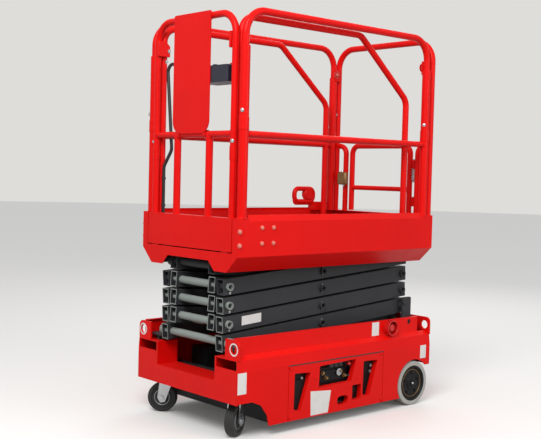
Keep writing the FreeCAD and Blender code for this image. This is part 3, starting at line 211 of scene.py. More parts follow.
def makePaint(name, light, dark, dust, roughLow, roughHigh, peel, dustShare):
    # powder coat on folded steel: even gloss with a fine orange peel, thin dust on what faces up
    material, tree, shader, place = newMaterial(name, roughLow)
    clouds = addNode(tree, "ShaderNodeTexNoise", {"Vector": place, "Scale": perMetre(paintPatterns["clouds"]),
                                                  "Detail": 5.0})
    tone = addNode(tree, "ShaderNodeMix", {0: clouds.outputs["Fac"], 6: linear(light), 7: linear(dark)},
                   data_type="RGBA")
    surface = addNode(tree, "ShaderNodeNewGeometry")
    split = addNode(tree, "ShaderNodeSeparateXYZ", {0: surface.outputs["Normal"]})
    grit = addNode(tree, "ShaderNodeTexNoise", {"Vector": place, "Scale": perMetre(paintPatterns["grit"]),
                                                "Detail": 8.0, "Roughness": 0.7})
    hangingDust, lyingDust = (dustShare * share for share in paintPatterns["dust"])
    lying = addNode(tree, "ShaderNodeMapRange", {"Value": split.outputs["Z"], "From Min": 0.15,
                                                 "From Max": 0.95, "To Min": hangingDust,
                                                 "To Max": lyingDust})
    patchy = addNode(tree, "ShaderNodeMapRange", {"Value": grit.outputs["Fac"], "From Min": 0.38,
                                                  "From Max": 0.72, "To Min": 0.35, "To Max": 1.0})
    cover = addNode(tree, "ShaderNodeMath", {0: lying.outputs[0], 1: patchy.outputs[0]}, operation="MULTIPLY")
    dusty = addNode(tree, "ShaderNodeMix", {0: cover.outputs[0], 6: tone.outputs[2], 7: linear(dust)},
                    data_type="RGBA")
    tree.links.new(dusty.outputs[2], shader.inputs["Base Color"])
    wiped = addNode(tree, "ShaderNodeTexNoise", {"Vector": place, "Scale": perMetre(paintPatterns["wiped"]),
                                                 "Detail": 6.0})
    rough = addNode(tree, "ShaderNodeMapRange", {"Value": wiped.outputs["Fac"], "From Min": 0.3,
                                                 "From Max": 0.7, "To Min": roughLow, "To Max": roughHigh})
    dulled = addNode(tree, "ShaderNodeMath", {0: rough.outputs[0], 1: cover.outputs[0]}, operation="ADD")
    tree.links.new(dulled.outputs[0], shader.inputs["Roughness"])
    orangePeel = addNode(tree, "ShaderNodeTexNoise", {"Vector": place, "Detail": 2.0,
                                                      "Scale": perMetre(paintPatterns["peel"])})
    edge = addNode(tree, "ShaderNodeBevel", {"Radius": paintPatterns["edge"] * mm}, samples=4)
    bump = addNode(tree, "ShaderNodeBump", {"Height": orangePeel.outputs["Fac"], "Strength": peel,
                                            "Distance": paintPatterns["peelDepth"] * mm,
                                            "Normal": edge.outputs[0]})
    tree.links.new(bump.outputs[0], shader.inputs["Normal"])
    shader.inputs["Specular IOR Level"].default_value = paintPatterns["specular"]
    shader.inputs["Coat Weight"].default_value = paintPatterns["coat"]
    shader.inputs["Coat Roughness"].default_value = paintPatterns["coatRoughness"]
    return material


paints = {name: makePaint(name, *values) for name, values in paintSettings.items()}

metalSettings = {
    # name: colour, darker patches, roughness low and high, grain length and width in mm
    "zincPlatedSteel": ("C3C6C8", "A2A6A9", 0.24, 0.42, 9.0, 9.0),
    "turnedSteel": ("B4B4B2", "8E8D8A", 0.22, 0.40, 30.0, 1.2),
    "hardChrome": ("E2E4E6", "D3D6D8", 0.05, 0.12, 40.0, 40.0),
    "galvanisedSteel": ("A8ACAE", "8A8F92", 0.32, 0.52, 18.0, 14.0),
    "agedBronze": ("A08259", "7E6546", 0.42, 0.60, 5.0, 5.0),
}
# patches across and depth of the grain in mm, strength of the grain
metalPatterns = {"patches": 25, "grainDepth": 0.2, "grainStrength": 0.08}


def makeMetal(name, bright, dull, roughLow, roughHigh, grainLong, grainShort):
    # bare or plated metal: the colour hardly varies, the polish does
    material, tree, shader, place = newMaterial(name, roughLow, 1.0)
    stretch = addNode(tree, "ShaderNodeMapping", {"Vector": place, "Scale": (perMetre(grainShort),
                                                                           perMetre(grainLong),
                                                                           perMetre(grainShort))})
    grain = addNode(tree, "ShaderNodeTexNoise", {"Vector": stretch.outputs[0], "Scale": 1.0, "Detail": 6.0})
    patches = addNode(tree, "ShaderNodeTexNoise", {"Vector": place, "Detail": 5.0,
                                                   "Scale": perMetre(metalPatterns["patches"])})
    tone = addNode(tree, "ShaderNodeMix", {0: patches.outputs["Fac"], 6: linear(bright), 7: linear(dull)},
                   data_type="RGBA")
    tree.links.new(tone.outputs[2], shader.inputs["Base Color"])
    rough = addNode(tree, "ShaderNodeMapRange", {"Value": grain.outputs["Fac"], "From Min": 0.3,
                                                 "From Max": 0.7, "To Min": roughLow, "To Max": roughHigh})
    tree.links.new(rough.outputs[0], shader.inputs["Roughness"])
    bump = addNode(tree, "ShaderNodeBump", {"Height": grain.outputs["Fac"],
                                            "Strength": metalPatterns["grainStrength"],
                                            "Distance": metalPatterns["grainDepth"] * mm})
    tree.links.new(bump.outputs[0], shader.inputs["Normal"])
    return material


metals = {name: makeMetal(name, *values) for name, values in metalSettings.items()}

softSettings = {
    # name: colour, scuffed tone, roughness, grain in mm, bump strength, sheen
    "greyNonMarkingRubber": ("A09F99", "B3B1AB", 0.78, 5.0, 0.25, 0.12),
    "blackRubber": ("151515", "2C2B2A", 0.66, 4.0, 0.22, 0.06),
    "blackMouldedAbs": ("151516", "232324", 0.42, 1.6, 0.16, 0.0),
    "navyMouldedAbs": ("161827", "232536", 0.42, 1.6, 0.16, 0.0),
    "blackPvcSheath": ("121213", "262626", 0.38, 6.0, 0.06, 0.0),
    "whiteVinylFilm": ("D9D7D4", "CCCAC5", 0.32, 14.0, 0.03, 0.0),
    "batteryPolypropylene": ("232425", "343536", 0.50, 2.5, 0.14, 0.0),
    "redMouldedNylon": ("C6120F", "A80E0C", 0.35, 2.0, 0.08, 0.0),
}
# rubbed patches across and depth of the grain in mm, how far the roughness goes down and up
softPatterns = {"rubbed": 45, "grainDepth": 0.5, "roughSpread": (-0.06, 0.1)}


def makeMoulded(name, colour, scuffed, roughness, grainMm, bumpStrength, sheen):
    # moulded or extruded polymer: a fine tool grain, paler where hands and floors rub it
    material, tree, shader, place = newMaterial(name, roughness)
    rub = addNode(tree, "ShaderNodeTexNoise", {"Vector": place, "Scale": perMetre(softPatterns["rubbed"]),
                                               "Detail": 7.0, "Roughness": 0.65})
    share = addNode(tree, "ShaderNodeMapRange", {"Value": rub.outputs["Fac"], "From Min": 0.45,
                                                 "From Max": 0.75, "To Min": 0.0, "To Max": 0.7})
    tone = addNode(tree, "ShaderNodeMix", {0: share.outputs[0], 6: linear(colour), 7: linear(scuffed)},
                   data_type="RGBA")
    tree.links.new(tone.outputs[2], shader.inputs["Base Color"])
    roughLow, roughHigh = (roughness + spread for spread in softPatterns["roughSpread"])
    rough = addNode(tree, "ShaderNodeMapRange", {"Value": rub.outputs["Fac"], "From Min": 0.3,
                                                 "From Max": 0.7, "To Min": roughLow, "To Max": roughHigh})
    tree.links.new(rough.outputs[0], shader.inputs["Roughness"])
    grain = addNode(tree, "ShaderNodeTexNoise", {"Vector": place, "Scale": perMetre(grainMm), "Detail": 3.0})
    bump = addNode(tree, "ShaderNodeBump", {"Height": grain.outputs["Fac"], "Strength": bumpStrength,
                                            "Distance": softPatterns["grainDepth"] * mm})
    tree.links.new(bump.outputs[0], shader.inputs["Normal"])
    if sheen:
        shader.inputs["Sheen Weight"].default_value = sheen
    return material


moulded = {name: makeMoulded(name, *values) for name, values in softSettings.items()}
red = paints["redPowderCoat"]
darkGrey = paints["darkGreyPowderCoat"]
greyGreen = paints["greyGreenEnamel"]
print("materials made:", len(paints) + len(metals) + len(moulded))

# Finishes of the CAD nodes

finishes = {
    "floor_pan": darkGrey, "front_bulkhead": darkGrey, "caster_deck": darkGrey, "wheel_wells": darkGrey,
    "roller_tracks": darkGrey, "scissor_mount": darkGrey, "drive_motors": paints["blackEnamel"],
    "hydraulic_unit": paints["blackEnamel"], "battery_pack": moulded["batteryPolypropylene"],
    "emergency_stop": moulded["redMouldedNylon"], "cylinder_barrel": paints["blackEnamel"],
    "cylinder_rod": metals["hardChrome"], "control_box": moulded["navyMouldedAbs"],
    "control_lead": moulded["blackPvcSheath"],
    "extension_deck": metals["galvanisedSteel"], "deck_plate": darkGrey, "deck_underframe": darkGrey,
}
for side in ("left", "right"):
    finishes["drive_tyre_" + side] = moulded["greyNonMarkingRubber"]
    finishes["drive_hub_" + side] = paints["blackEnamel"]
    finishes["caster_fork_" + side] = metals["zincPlatedSteel"]
    finishes["caster_wheel_" + side] = moulded["blackRubber"]


def dress(name, material):
    node = nodes[name]
    node.data.materials.clear()
    node.data.materials.append(material)
    node.data.polygons.foreach_set("material_index", [0] * len(node.data.polygons))


def alsoPaint(name, material, rule):
    # faces whose middle and normal meet the rule take a second finish
    node = nodes[name]
    node.data.materials.append(material)
    index = len(node.data.materials) - 1
    for face in node.data.polygons:
        if rule(face.center, face.normal):
            face.material_index = index


for name in nodes:
    dress(name, darkGrey if "arms" in name else finishes.get(name, red))
armPaint = {
    "stages": 4,
    # metres: where the front ends begin along x, and the arms' outer faces along y
    "frontEnds": 0.5,
    "outerFaces": 0.2315,
    # kind of frame, half length of its cross tubes in metres
    "tubes": (("inner", 0.1205), ("outer", 0.1825)),
    # least x of the normal of a face that looks forward
    "forward": 0.9,
}


def isNeckOrRing(middle, normal):
    return abs(middle.y) > armPaint["outerFaces"] and middle.x > armPaint["frontEnds"]


def isEndRim(middle, normal):
    return normal.x > armPaint["forward"] and middle.x > armPaint["frontEnds"]


for stage in range(1, armPaint["stages"] + 1):
    for kind, half in armPaint["tubes"]:
        arms = "%s_arms_%d" % (kind, stage)
        alsoPaint(arms, greyGreen, isNeckOrRing)
        # cross tubes and end rims of the top stage stay dark
        if stage < armPaint["stages"]:
            alsoPaint(arms, greyGreen,
                      lambda middle, normal: abs(middle.y) < half or isEndRim(middle, normal))
print("CAD nodes dressed")

# Building blocks for the fitted pieces; sizes in the tables are millimetres


def turnTo(axis):
    return Vector((0, 0, 1)).rotation_difference(Vector(axis)).to_matrix().to_4x4()


def spot(point):
    return Matrix.Translation(Vector(point) * mm)


def addRod(build, start, axis, radius, length, sides=24, tip=None, spin=0.0):
    # round or many-sided rod that grows from start along axis; tip is the far end's radius
    middle = Vector(start) + Vector(axis).normalized() * length / 2
    matrix = spot(middle) @ turnTo(axis) @ Matrix.Rotation(math.radians(spin), 4, "Z")
    bmesh.ops.create_cone(build, cap_ends=True, segments=sides, radius1=radius * mm,
                          radius2=(radius if tip is None else tip) * mm, depth=length * mm, matrix=matrix)


def addBlock(build, low, high):
    low = Vector(low)
    high = Vector(high)
    size = high - low
    matrix = spot((low + high) / 2) @ Matrix.Diagonal((*(abs(s) * mm for s in size), 1))
    bmesh.ops.create_cube(build, size=1.0, matrix=matrix)


def addTurned(build, start, axis, profile, sides=32):
    # closed profile of (along, radius), turned about the axis
    matrix = spot(start) @ turnTo(axis)
    rings = []
    for step in range(sides):
        angle = 2 * math.pi * step / sides
        rings.append([build.verts.new(matrix @ Vector((radius * mm * math.cos(angle),
                                                       radius * mm * math.sin(angle), along * mm)))
                      for along, radius in profile])
    for step in range(sides):
        first = rings[step]
        second = rings[(step + 1) % sides]
        for index in range(len(profile)):
            onward = (index + 1) % len(profile)
            build.faces.new((first[index], first[onward], second[onward], second[index]))


def addRing(build, centre, axis, major, minor, sides=32, rounds=8):
    angles = [2 * math.pi * k / rounds for k in range(rounds)]
    profile = [(minor * math.sin(angle), major + minor * math.cos(angle)) for angle in angles]
    addTurned(build, centre, axis, profile, sides)


def addPlate(build, corners, thickness):
    # flat plate from corners in order, thickened by a vector
    lower = [build.verts.new(Vector(corner) * mm) for corner in corners]
    upper = [build.verts.new((Vector(corner) + Vector(thickness)) * mm) for corner in corners]
    build.faces.new(lower)
    build.faces.new(upper[::-1])
    for index in range(len(corners)):
        onward = (index + 1) % len(corners)
        build.faces.new((lower[index], lower[onward], upper[onward], upper[index]))


def smoothPath(points, steps=8):
    # Catmull-Rom curve through the points
    points = [Vector(point) for point in points]
    ends = [2 * points[0] - points[1]] + points + [2 * points[-1] - points[-2]]
    path = []
    for index in range(1, len(ends) - 2):
        before, start, stop, after = ends[index - 1:index + 3]
        for step in range(steps):
            t = step / steps
            path.append(0.5 * (2 * start + (stop - before) * t
                               + (2 * before - 5 * start + 4 * stop - after) * t ** 2
                               + (3 * start - before - 3 * stop + after) * t ** 3))
    return path + [points[-1]]


def addTube(build, path, radius, sides=14):
    rings = []
    side = None
    for index, point in enumerate(path):
        before = path[max(index - 1, 0)]
        after = path[min(index + 1, len(path) - 1)]
        along = (after - before).normalized()
        if side is None:
            side = along.orthogonal().normalized()
        side = (side - along * side.dot(along)).normalized()
        across = along.cross(side)
        rings.append([build.verts.new((point + radius * (side * math.cos(a) + across * math.sin(a))) * mm)
                      for a in (2 * math.pi * k / sides for k in range(sides))])
    for first, second in zip(rings, rings[1:]):
        for k in range(sides):
            build.faces.new((first[k], first[(k + 1) % sides], second[(k + 1) % sides], second[k]))
    build.faces.new(rings[0][::-1])
    build.faces.new(rings[-1])


def roundedCorners(corners, radius, steps=5):
    # 2-D outline with its corners rounded
    outline = []
    count = len(corners)
    for index, corner in enumerate(corners):
        here = Vector(corner)
        back = (Vector(corners[index - 1]) - here).normalized()
        onward = (Vector(corners[(index + 1) % count]) - here).normalized()
        half = back.angle(onward) / 2
        trim = radius / math.tan(half)
        centre = here + (back + onward).normalized() * radius / math.sin(half)
        start = here + back * trim - centre
        stop = here + onward * trim - centre
        for step in range(steps + 1):
            mixed = start.lerp(stop, step / steps)
            outline.append(centre + mixed.normalized() * radius)
    return outline


# degrees between faces from which an edge stays sharp, and from which it is rounded
edgeSettings = {"sharpFrom": 38, "roundFrom": 40, "segments": 2}


def makePiece(name, build, material, body, bevel=0.0):
    bmesh.ops.recalc_face_normals(build, faces=build.faces)
    mesh = bpy.data.meshes.new(name)
    build.to_mesh(mesh)
    build.free()
    mesh.materials.append(material)
    mesh.polygons.foreach_set("use_smooth", [True] * len(mesh.polygons))
    mesh.set_sharp_from_angle(angle=math.radians(edgeSettings["sharpFrom"]))
    piece = bpy.data.objects.new(name, mesh)
    bpy.context.scene.collection.objects.link(piece)
    if bevel:
        rounding = piece.modifiers.new("softEdges", "BEVEL")
        rounding.width = bevel * mm
        rounding.segments = edgeSettings["segments"]
        rounding.limit_method = "ANGLE"
        rounding.angle_limit = math.radians(edgeSettings["roundFrom"])
    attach(piece, body)


def mirroredPoint(point, sign):
    return (point[0], point[1] * sign, point[2])


# Bolts: a chamfered hexagon on a washer; the shape's numbers are shares of the bolt's size

boltShape = {
    # radius, height
    "washer": (1.12, 0.18),
    "head": (0.95, 0.5),
    # radius, top radius, height
    "chamfer": (0.9, 0.72, 0.1),
}
boltSettings = {
    # name: body, on both sides, size, axis, places on the surface
    "coverScrews": ("chassis", True, 6, (0, 1, 0), ((-277, 380, 294), (-277, 380, 66), (351, 380, 294),
                                                    (351, 380, 66), (190, 380, 230))),
    "bracketBolts": ("chassis", True, 10, (0, 1, 0), ((-574, 264, 518),)),
    "slotBolts": ("chassis", True, 8, (0, 1, 0), ((-225, 351, 240), (-222, 351, 211), (253, 351, 233),
                                                 (253, 351, 204))),
    "rearWallBolts": ("chassis", True, 8, (-1, 0, 0), ((-655, 250, 226), (-655, 250, 330), (-655, 180, 420),
                                                       (-655, 60, 420))),
    "casterPlateBolts": ("chassis", True, 10, (0, 0, -1), ((522, 224, 214), (598, 224, 214),
                                                           (522, 300, 214), (598, 300, 214))),
    "cornerBolts": ("platform", True, 10, (0, 1, 0), ((659, 359, 928), (659, 359, 867))),
    "stepBolts": ("platform", True, 9, (0, 1, 0), ((460, 359, 944), (529, 359, 944), (460, 359, 874),
                                                   (529, 359, 874))),
    "sillBolts": ("platform", True, 8, (-1, 0, 0), ((-670, 290, 940), (-670, 290, 860), (-670, 120, 860))),
    "postBolts": ("platform", True, 8, (0.88, 0.47, 0), ((651.2, 348.3, 1458), (-588.8, 348.3, 1458))),
    "frontPostBolts": ("extension", True, 8, (0.88, 0.47, 0), ((661.8, 297.4, 1325),)),
    "farRearPostBolt": ("platform", False, 8, (-0.92, 0.39, 0), ((-628.2, -329.4, 1532),)),
    "foldBolts": ("extension", True, 8, (0, -1, 0), ((606, 262, 1762), (611, 275, 1712))),
    "rearFoldBolts": ("platform", True, 8, (0, -1, 0), ((-606, 309, 1757),)),
    "hingeCaps": ("platform", False, 6, (0, 0, 1), ((-652, 236, 1077.4), (-652, 236, 1277.4))),
}
zinc = metals["zincPlatedSteel"]
boltFinishes = {
    "coverScrews": red,
    # the bracket bolt is dark grey to paint the shade of the pin hole there
    "bracketBolts": darkGrey,
    "slotBolts": metals["galvanisedSteel"],
    # pale pink bolt enamel paints the highlight on red-painted bolt heads
    "cornerBolts": paints["boltEnamelPaintedHighlight"],
    "stepBolts": paints["boltEnamelPaintedHighlight"],
    "rearFoldBolts": paints["boltEnamelPaintedHighlight"],
}


def addBolt(build, place, axis, size):
    axis = Vector(axis)
    place = Vector(place)
    spin = place.x % 60
    washerRadius, washerHeight = boltShape["washer"]
    headRadius, headHeight = boltShape["head"]
    edgeRadius, topRadius, edgeHeight = boltShape["chamfer"]
    headFoot = place + axis * size * washerHeight
    edgeFoot = headFoot + axis * size * headHeight
    addRod(build, place, axis, size * washerRadius, size * washerHeight, 20)
    addRod(build, headFoot, axis, size * headRadius, size * headHeight, 6, spin=spin)
    addRod(build, edgeFoot, axis, size * edgeRadius, size * edgeHeight, 6, size * topRadius, spin=spin)


for name, (body, bothSides, size, axis, places) in boltSettings.items():
    build = bmesh.new()
    for sign in (1, -1) if bothSides else (1,):
        for place in places:
            addBolt(build, mirroredPoint(place, sign), mirroredPoint(axis, sign), size)
    makePiece(name, build, boltFinishes.get(name, zinc), body)

# Keeper bolts below the front rings and beside the centre pins, one piece for each outer arm frame

armSettings = {
    # millimetres, with the lift at rest: lowest front pin's height, rise and length of a stage
    "lowestZ": 415.0,
    "pitch": 85.5,
    "reach": 1191.0,
    "frontX": 606,
    "centreX": 10.5,
    "faceY": 231,
    # x, drop below the front pin, size
    "frontKeeper": (601, 29, 6),
    # height above and below the centre pin, size
    "centreKeeper": (17, 4),
    # corners (x, up) of the blank label on the second frame
    "label": ((408, -17), (526, -17), (526, 25), (408, 25)),
}
armTilt = math.atan2(armSettings["pitch"], armSettings["reach"])
armY = armSettings["faceY"]
keeperX, keeperDrop, keeperSize = armSettings["frontKeeper"]
centreUp, centreSize = armSettings["centreKeeper"]
for stage in range(1, armPaint["stages"] + 1):
    build = bmesh.new()
    height = armSettings["lowestZ"] + (stage - 1) * armSettings["pitch"]
    middle = height + armSettings["reach"] / 2 * math.tan(armTilt)
    for sign in (1, -1):
        if stage > 1:
            addBolt(build, (keeperX, sign * armY, height - keeperDrop), (0, sign, 0), keeperSize)
        for up in (-centreUp, centreUp):
            addBolt(build, (armSettings["centreX"], sign * armY, middle + up), (0, sign, 0), centreSize)
    makePiece("keeperBolts%d" % stage, build, metals["galvanisedSteel"], "outer_frame_%d" % stage)
print("bolts made:", len(boltSettings) + armPaint["stages"])

# Blank labels: thin vinyl film on the paint

labelSettings = {
    # name: body, sides, corners in order round the label, thickness vector
    "coverLabel": ("chassis", (1, -1),
                   ((83, 380, 160), (219, 380, 172), (215, 380, 56), (101, 380, 56)), (0, 0.4, 0)),
    "frontCornerLabel": ("chassis", (1, -1),
                         ((617, 380, 214), (668, 380, 214), (668, 380, 309), (617, 380, 309)), (0, 0.4, 0)),
    "rearCornerLabel": ("chassis", (1, -1),
                        ((-624, 380, 240), (-578, 380, 240), (-578, 380, 308), (-624, 380, 308)),
                        (0, 0.4, 0)),
    "wallLabel": ("chassis", (1, -1),
                  ((-288, 345, 384), (-236, 345, 384), (-236, 345, 452), (-288, 345, 452)), (0, 0.4, 0)),
    "rearWallLabel": ("chassis", (1,),
                      ((-655, -60, 350), (-655, 60, 350), (-655, 60, 400), (-655, -60, 400)), (-0.4, 0, 0)),
    "controlBoxLabel": ("extension", (1,),
                        ((570, 60, 1663), (570, 245, 1663), (610, 245, 1663), (610, 60, 1663)), (0, 0, 0.4)),
}
film = moulded["whiteVinylFilm"]
for name, (body, signs, corners, thickness) in labelSettings.items():
    build = bmesh.new()
    for sign in signs:
        addPlate(build, [mirroredPoint(corner, sign) for corner in corners], mirroredPoint(thickness, sign))
    makePiece(name, build, film, body)
build = bmesh.new()
secondPin = armSettings["lowestZ"] + armSettings["pitch"]
for sign in (1, -1):
    # tilted with the second stage's outer arm
    corners = [(x, sign * armY, secondPin + (armSettings["frontX"] - x) * math.tan(armTilt) + up)
               for x, up in armSettings["label"]]
    addPlate(build, corners, (0, sign * 0.4, 0))
makePiece("armLabel", build, film, "outer_frame_2")
lugDecal = {"place": (666, 346, 409), "profile": ((0, 22.6), (0.4, 22.6), (0.4, 29), (0, 29))}
build = bmesh.new()
for sign in (1, -1):
    addTurned(build, mirroredPoint(lugDecal["place"], sign), (1, 0, 0), lugDecal["profile"], 40)
makePiece("lugDecals", build, film, "chassis")
print("labels made:", len(labelSettings) + 2)

# Side covers: rims folded inward round the cut-outs, black backs behind them that paint the shade inside, a
# black strip along the top that paints the shadow under the ledge

coverSettings = {
    "faceY": 380,
    "proud": 0.2,
    "depth": 27.0,
    "sheet": 2.0,
    # corner radius, corners (x, z)
    "holes": (
        (6, ((324, 270), (220, 264), (283, 87), (327, 98))),
        (6, ((-143, 276), (-247, 272), (-190, 96), (-139, 105))),
        (6, ((163, 285), (-90, 292), (-59, 184), (167, 182))),
        (6, ((-129, 90), (-65, 90), (-65, 166), (-129, 166))),
        (22, ((-40, 79), (40, 79), (40, 124), (-40, 124))),
    ),
    # low and high corners
    # black sheets behind the cut-outs that paint the shade inside them
    "backs": (((205, 349.5, 76), (340, 351, 282)), ((-258, 349.5, 86), (-132, 351, 288)),
              ((-134, 349.5, 82), (-58, 351, 172))),
    # black strip on the face that paints the shadow under the ledge along the cover's top
    "ledgeShadow": (((-288, 379.5, 304.5), (362, 380.6, 310)),),
}
rimY = (coverSettings["faceY"] + coverSettings["proud"], coverSettings["faceY"] - coverSettings["depth"])
build = bmesh.new()
for sign in (1, -1):
    for radius, corners in coverSettings["holes"]:
        outline = roundedCorners(corners, radius)
        middle = sum(outline, Vector((0, 0))) / len(outline)
        walls = []
        for point in outline:
            inward = (middle - point).normalized() * coverSettings["sheet"]
            pair = []
            for offset in (Vector((0, 0)), inward):
                x, z = point + offset
                for y in rimY:
                    pair.append(build.verts.new(Vector((x, sign * y, z)) * mm))
            walls.append(pair)
        for first, second in zip(walls, walls[1:] + walls[:1]):
            for a, b in ((0, 1), (1, 3), (3, 2), (2, 0)):
                build.faces.new((first[a], first[b], second[b], second[a]))
makePiece("coverRims", build, red, "chassis")
# the black backs paint the shade inside the cut-outs; the black strip paints the shadow under the ledge
for name, key, material in (("coverBacks", "backs", paints["blackEnamel"]),
                            ("coverLedgeShadow", "ledgeShadow", moulded["blackRubber"])):
    build = bmesh.new()
    for sign in (1, -1):
        for low, high in coverSettings[key]:
            addBlock(build, mirroredPoint(low, sign), mirroredPoint(high, sign))
    makePiece(name, build, material, "chassis")

# Small fittings from tables: what is added, two points or a point and a direction, then sizes

adders = {"rod": addRod, "block": addBlock, "turned": addTurned, "ring": addRing}


def makeFittings(table):
    for name, (material, body, slot, bevel, signs, shapes) in table.items():
        build = bmesh.new()
        for sign in signs:
            for kind, first, second, *sizes in shapes:
                adders[kind](build, mirroredPoint(first, sign), mirroredPoint(second, sign), *sizes)
        makePiece(name, build, material, body, bevel)


# Valves, gauge and hoses behind the left cover's window

outward = (0, 1, 0)
upward = (0, 0, 1)
# x, z, length
cartridges = ((-34, 214, 18), (-8, 238, 16), (92, 216, 20), (112, 240, 15))
coilProfile = ((-12, 0.1), (-12, 16), (18, 16), (20, 13), (20, 0.1))
valveFittings = {
    # name: material, body, slot, bevel, signs, shapes
    "valveBlock": (paints["blackEnamel"], "chassis", "dark_enamel", 1.5, (1,), (
        ("block", (-64, 296, 178), (148, 340, 262)),
        ("block", (-40, 340, 196), (128, 346, 250)),
    )),
    "valveCartridges": (metals["agedBronze"], "chassis", None, 0.0, (1,), (
        *[shape for x, z, length in cartridges for shape in (
            ("rod", (x, 346, z), outward, 11, 6, 6),
            ("rod", (x, 352, z), outward, 8, length - 8, 20, 6),
        )],
        *[("rod", (x, 350, 130), outward, 11, 8, 6) for x in (60, 110, 150)],
    )),
    "valveCoils": (moulded["blackMouldedAbs"], "chassis", None, 0.8, (1,), [
        ("turned", (x, 340, 274), upward, coilProfile, 24) for x in (-12, 20, 52)
    ]),
    "gaugeCase": (zinc, "chassis", None, 0.0, (1,), (
        ("turned", (5, 346, 235), outward, ((0, 0.1), (0, 17), (11, 17), (11, 14), (9, 14), (9, 0.1)), 32),
    )),
    "gaugeFace": (metals["galvanisedSteel"], "chassis", None, 0.0, (1,), (
        ("turned", (5, 355.2, 235), outward, ((0, 0.1), (0, 13.5), (0.6, 13.5), (0.6, 0.1)), 32),
    )),
}
makeFittings(valveFittings)
hoseSettings = {
    "radius": 6.5,
    "paths": (
        ((-52, 344, 210), (-72, 356, 206), (-88, 352, 178), (-96, 330, 130), (-96, 312, 96)),
        ((148, 330, 214), (172, 346, 210), (188, 346, 176), (196, 330, 150), (214, 318, 140)),
        ((142, 320, 246), (178, 334, 256), (206, 330, 240), (226, 318, 236)),
        ((60, 354, 130), (60, 366, 120), (30, 366, 96), (-20, 350, 88)),
    ),
}
build = bmesh.new()
for path in hoseSettings["paths"]:
    addTube(build, smoothPath(path), hoseSettings["radius"])
makePiece("valveHoses", build, moulded["blackPvcSheath"], "chassis")
knobAxis = (0, 1, 0.2)
makeFittings({
    "loweringKnob": (moulded["redMouldedNylon"], "chassis", None, 0.0, (1,), (
        ("rod", (-50, 348, 268), knobAxis, 3.2, 20, 12),
        ("rod", (-50, 366, 272), knobAxis, 9, 6, 20, 8),
    )),
})
print("cover rims and valve gear made")

# Drive wheels: lug bolts, cap with its grease nipple, bronze ring, mould lines on the tyre

wheelSettings = {
    "centre": (-530, 335, 115),
    # number, circle's radius, distance out, size
    "lugs": (5, 54, 31, 7),
    # distance out, profile
    "cap": (37, ((0, 0.1), (0, 17), (3, 17), (4.4, 14), (4.4, 0.1))),
    # distance out, radius, length, end radius
    "nipple": (41.4, 6, 3, 4),
    # distance out, ring's radius, its section's radius
    "ring": (31.5, 71, 1.6),
    "mouldLines": (34, 114.2, 0.8),
}
lugCount, lugCircle, lugOut, lugSize = wheelSettings["lugs"]
capOut, capProfile = wheelSettings["cap"]
nippleOut, nippleRadius, nippleLength, nippleTip = wheelSettings["nipple"]
ringOut, ringRadius, ringSection = wheelSettings["ring"]
lineOut, lineRadius, lineSection = wheelSettings["mouldLines"]
for side, sign in (("left", 1), ("right", -1)):
    wheel = "drive_wheel_" + side
    centre = Vector(mirroredPoint(wheelSettings["centre"], sign))
    out = Vector((0, sign, 0))
    build = bmesh.new()
    for k in range(lugCount):
        angle = math.radians(90 + 360 / lugCount * k)
        place = centre + out * lugOut + Vector((lugCircle * math.cos(angle), 0, lugCircle * math.sin(angle)))
        addBolt(build, place, out, lugSize)
    makePiece("lugBolts." + side, build, paints["blackEnamel"], wheel)
    build = bmesh.new()
    addTurned(build, centre + out * capOut, out, capProfile, 28)
    makePiece("hubCap." + side, build, paints["blackEnamel"], wheel)
    build = bmesh.new()
    addRod(build, centre + out * nippleOut, out, nippleRadius, nippleLength, 20, nippleTip)
    makePiece("greaseNipple." + side, build, zinc, wheel)
    build = bmesh.new()
    addRing(build, centre + out * ringOut, out, ringRadius, ringSection, 64, 8)
    makePiece("hubRing." + side, build, metals["agedBronze"], wheel)
    build = bmesh.new()
    for offset in (-1, 1):
        addRing(build, centre + out * offset * lineOut, out, lineRadius, lineSection, 72, 6)
    makePiece("mouldLines." + side, build, moulded["greyNonMarkingRubber"], wheel)

# Casters: axle and kingpin nuts, swivel race, bright rims

